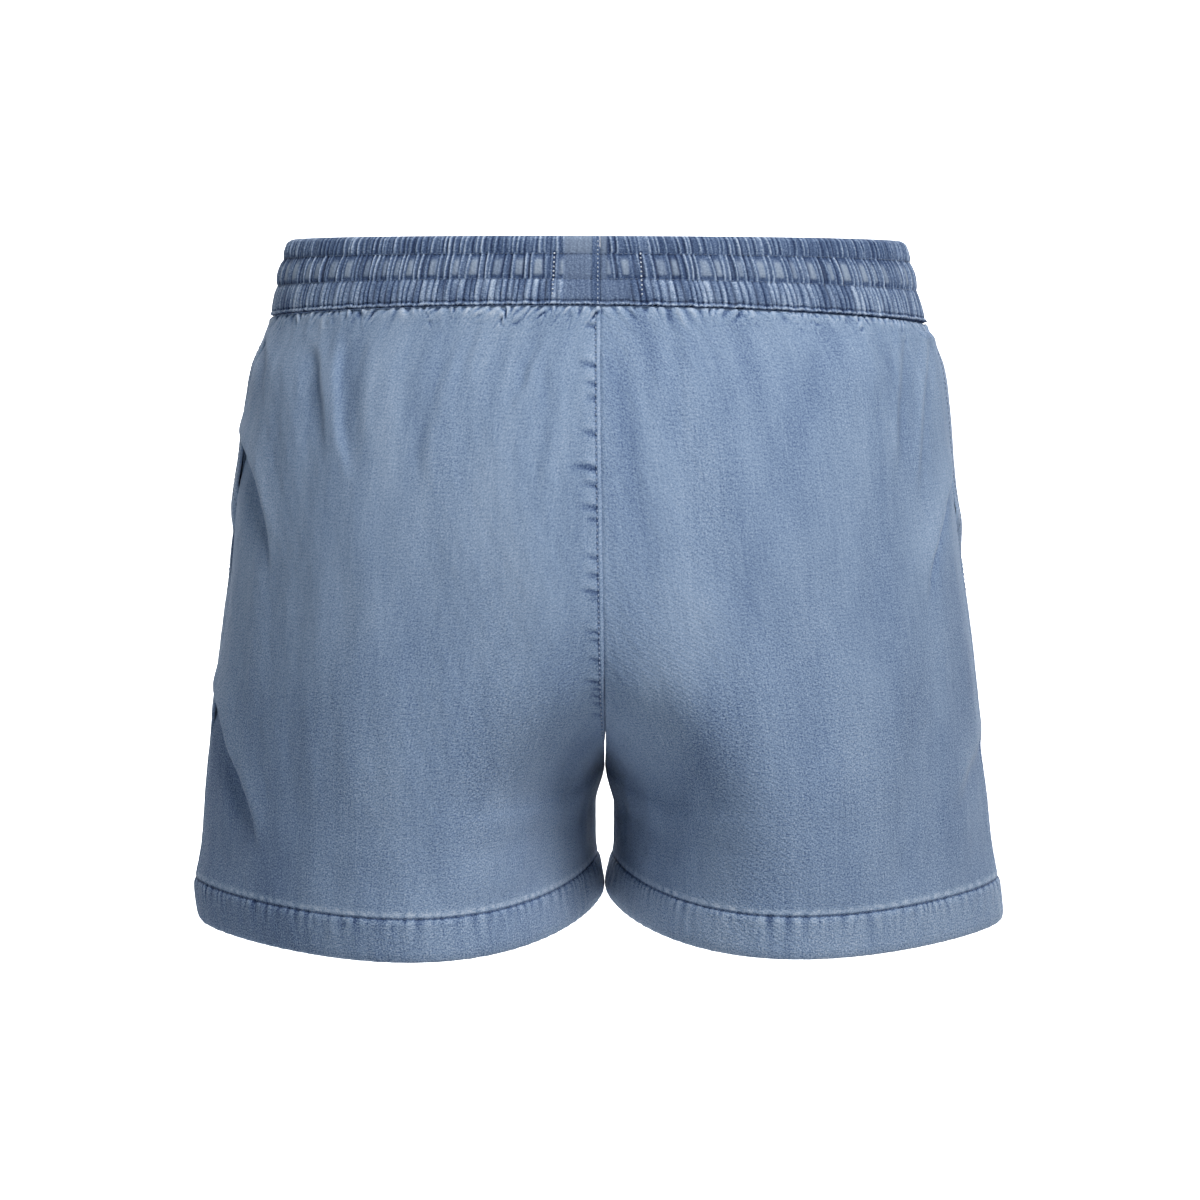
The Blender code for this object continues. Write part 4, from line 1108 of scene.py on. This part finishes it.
def studio():
    """A seamless sweep of white paper, a faint white surround and soft lamps.

    The paper lies flat far below the garment and rises in a quarter circle well behind it, so
    that its own lamp can make it white without lighting the side of the garment seen.
    """
    profile = [(SWEEP_REACH, FLOOR_LEVEL)]
    for turn in np.linspace(0.0, math.pi / 2, 13):
        back, up = SWEEP_RADIUS * math.sin(turn), SWEEP_RADIUS * (1 - math.cos(turn))
        profile.append((-SWEEP_BACK - back, FLOOR_LEVEL + up))
    profile.append((-SWEEP_BACK - SWEEP_RADIUS, SWEEP_TOP))
    corners = [(x, y, z) for y, z in profile for x in (-SWEEP_REACH, SWEEP_REACH)]
    faces = [(2 * i + 2, 2 * i + 3, 2 * i + 1, 2 * i) for i in range(len(profile) - 1)]
    mesh = bpy.data.meshes.new("studio_floor")
    mesh.from_pydata(corners, [], faces)
    mesh.shade_smooth()
    paper, tree, shader, solid = new_material("matt_white_paper", Roughness=0.9)
    tooth = add(tree, "TexNoise", {"Scale": 2.0}, {"Vector": solid})
    tint = add(tree, "Mix", {"data_type": "RGBA", 6: colour("#d4d4d4"), 7: colour("#dadada")},
               {0: tooth.outputs["Fac"]})
    tree.links.new(tint.outputs[2], shader.inputs["Base Color"])
    place("studio_floor", mesh, paper)

    world = bpy.data.worlds.new("white_surround")
    bpy.context.scene.world = world
    world.use_nodes = True
    sky = world.node_tree.nodes["Background"]
    sky.inputs["Color"].default_value = colour(SHADE_LIGHT)
    sky.inputs["Strength"].default_value = WORLD_STRENGTH

    for name, spot, aim, size, power, shade in LAMPS:
        data = bpy.data.lights.new(name, "AREA")
        data.shape = "RECTANGLE"
        data.size, data.size_y = size
        data.energy = power
        data.color = colour(shade)[:3]
        way = np.array(aim) - np.array(spot)
        lift = math.atan2(way[2], math.hypot(way[0], way[1]))
        put(name, data, spot, (math.pi / 2 + lift, 0.0, math.atan2(way[1], way[0]) - math.pi / 2))
    bpy.context.scene.view_settings.view_transform = "Standard"


def camera():
    """A long lens on the middle of the shorts from behind, looking down a little."""
    tilt = math.radians(CAMERA_TILT)
    data = bpy.data.cameras.new("photo_camera")
    data.sensor_width = 36.0
    data.lens = CAMERA_LENS
    spot = (0.0, CAMERA_DISTANCE * math.cos(tilt), CAMERA_AIM + CAMERA_DISTANCE * math.sin(tilt))
    bpy.context.scene.camera = put("photo_camera", data, spot, (math.pi / 2 - tilt, 0.0, math.pi))


# ---- the whole garment

def dress(obj, node=None):
    """Every piece rides the one body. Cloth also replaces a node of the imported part."""
    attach(obj, "root")
    if node:
        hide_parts(node)


def main():
    """Materials, then the cloth pieces, then the stitches that join them."""
    cloth = woven_cloth(
        "washed_indigo_lyocell_twill",
        ("#33476b", "#5e7396", "#8297b3", "#9caec6", "#c2cddc"),
        0.55, "#8f9db0", 0.25,
    )
    band_cloth = woven_cloth(
        "gathered_indigo_lyocell",
        ("#253454", "#3f5274", "#5a6d8d", "#8093b0", "#b8c6d9"),
        0.55, "#8f9bab", 0.15,
    )
    bag_cloth = woven_cloth(
        "pocket_bag_lyocell",
        ("#6d7f98", "#8394ad", "#94a5bc", "#a4b3c8", "#c4cfdd"),
        0.3, "#a3adb8", 0.15,
    )
    blue_thread = thread("faded_blue_thread", "#5f7290", "#a9b8cd")
    dark_thread = thread("indigo_thread", "#3b4c69", "#70839f")
    pale_thread = thread("pale_blue_thread", "#8fa1bb", "#ccd6e2")
    white_thread = thread("off_white_thread", "#bcc8d8", "#e8eef6")

    band = waistband("waistband_gathered", band_cloth)
    dress(band["object"], "waistband")
    panels = {}
    for side, side_name in SIDE_NAMES.items():
        for face, face_name, columns, flat, area in PANELS:
            node = "%s_%s" % (face_name, side_name)
            made = panels[face, side] = panel(node + "_cloth", face, side, columns, cloth)
            dress(made["object"], node)
    for side, side_name in SIDE_NAMES.items():
        for layer in ("outer", "inner"):
            bag = pocket_layer("pocket_bag_%s_%s" % (layer, side_name), side, layer, bag_cloth)
            dress(bag, "pocket_%s_%s" % (layer, side_name))

    # Seams as sewn: name, runs of stitches, radius, thread and slot.
    whole = band["whole"]
    ends = (0.8, whole - 1.2, 2.3)
    centre = ("last", -SEAM_STITCHES_OFF - TUCK, BAND_BOTTOM["side"] - 1.5, -222.0, 2.4, 0.5)
    mouth = ("first", 5.5, MOUTH_TOP, MOUTH_BOTTOM, 2.3)
    for name, runs, radius, finish, slot in (
        ("waistband_stitches", [band_run(band, line, *ends) for line in STITCH_LINES],
         0.20, dark_thread, "gathered_band"),
        ("waist_seam_stitches", [band_run(band, 0.955, *ends, 0.55, 0.03)],
         0.24, pale_thread, "gathered_band"),
        ("waistband_end_stitches",
         [band_upright(band, at % whole, 0.235, 0.81, 2.0, 0.5) for at in STAY_STITCHES],
         0.48, white_thread, "gathered_band"),
        ("waistband_join_stitches", [band_upright(band, 1.0, 0.06, 0.93, 2.1, 0.55)],
         0.34, pale_thread, "gathered_band"),
        ("centre_back_stitches", [seam_run(panels[BACK, LEFT], *centre)], 0.36, blue_thread, "lyocell_cloth"),
        ("hem_stitches", [hem_run(made, STITCH_HEIGHT, 2.5) for made in panels.values()],
         0.22, dark_thread, "lyocell_cloth"),
        ("pocket_mouth_stitches", [seam_run(panels[FRONT, side], *mouth) for side in SIDE_NAMES],
         0.22, dark_thread, "lyocell_cloth"),
    ):
        dress(stitches(name, runs, radius, finish))
    start = on_band(band, np.array([THREAD_END_ALONG * whole]), np.array([0.97]))[0][0]
    dress(thread_end("waist_seam_thread_end", start, THREAD_END_ROUTE, 0.28, white_thread))


studio()
camera()
main()
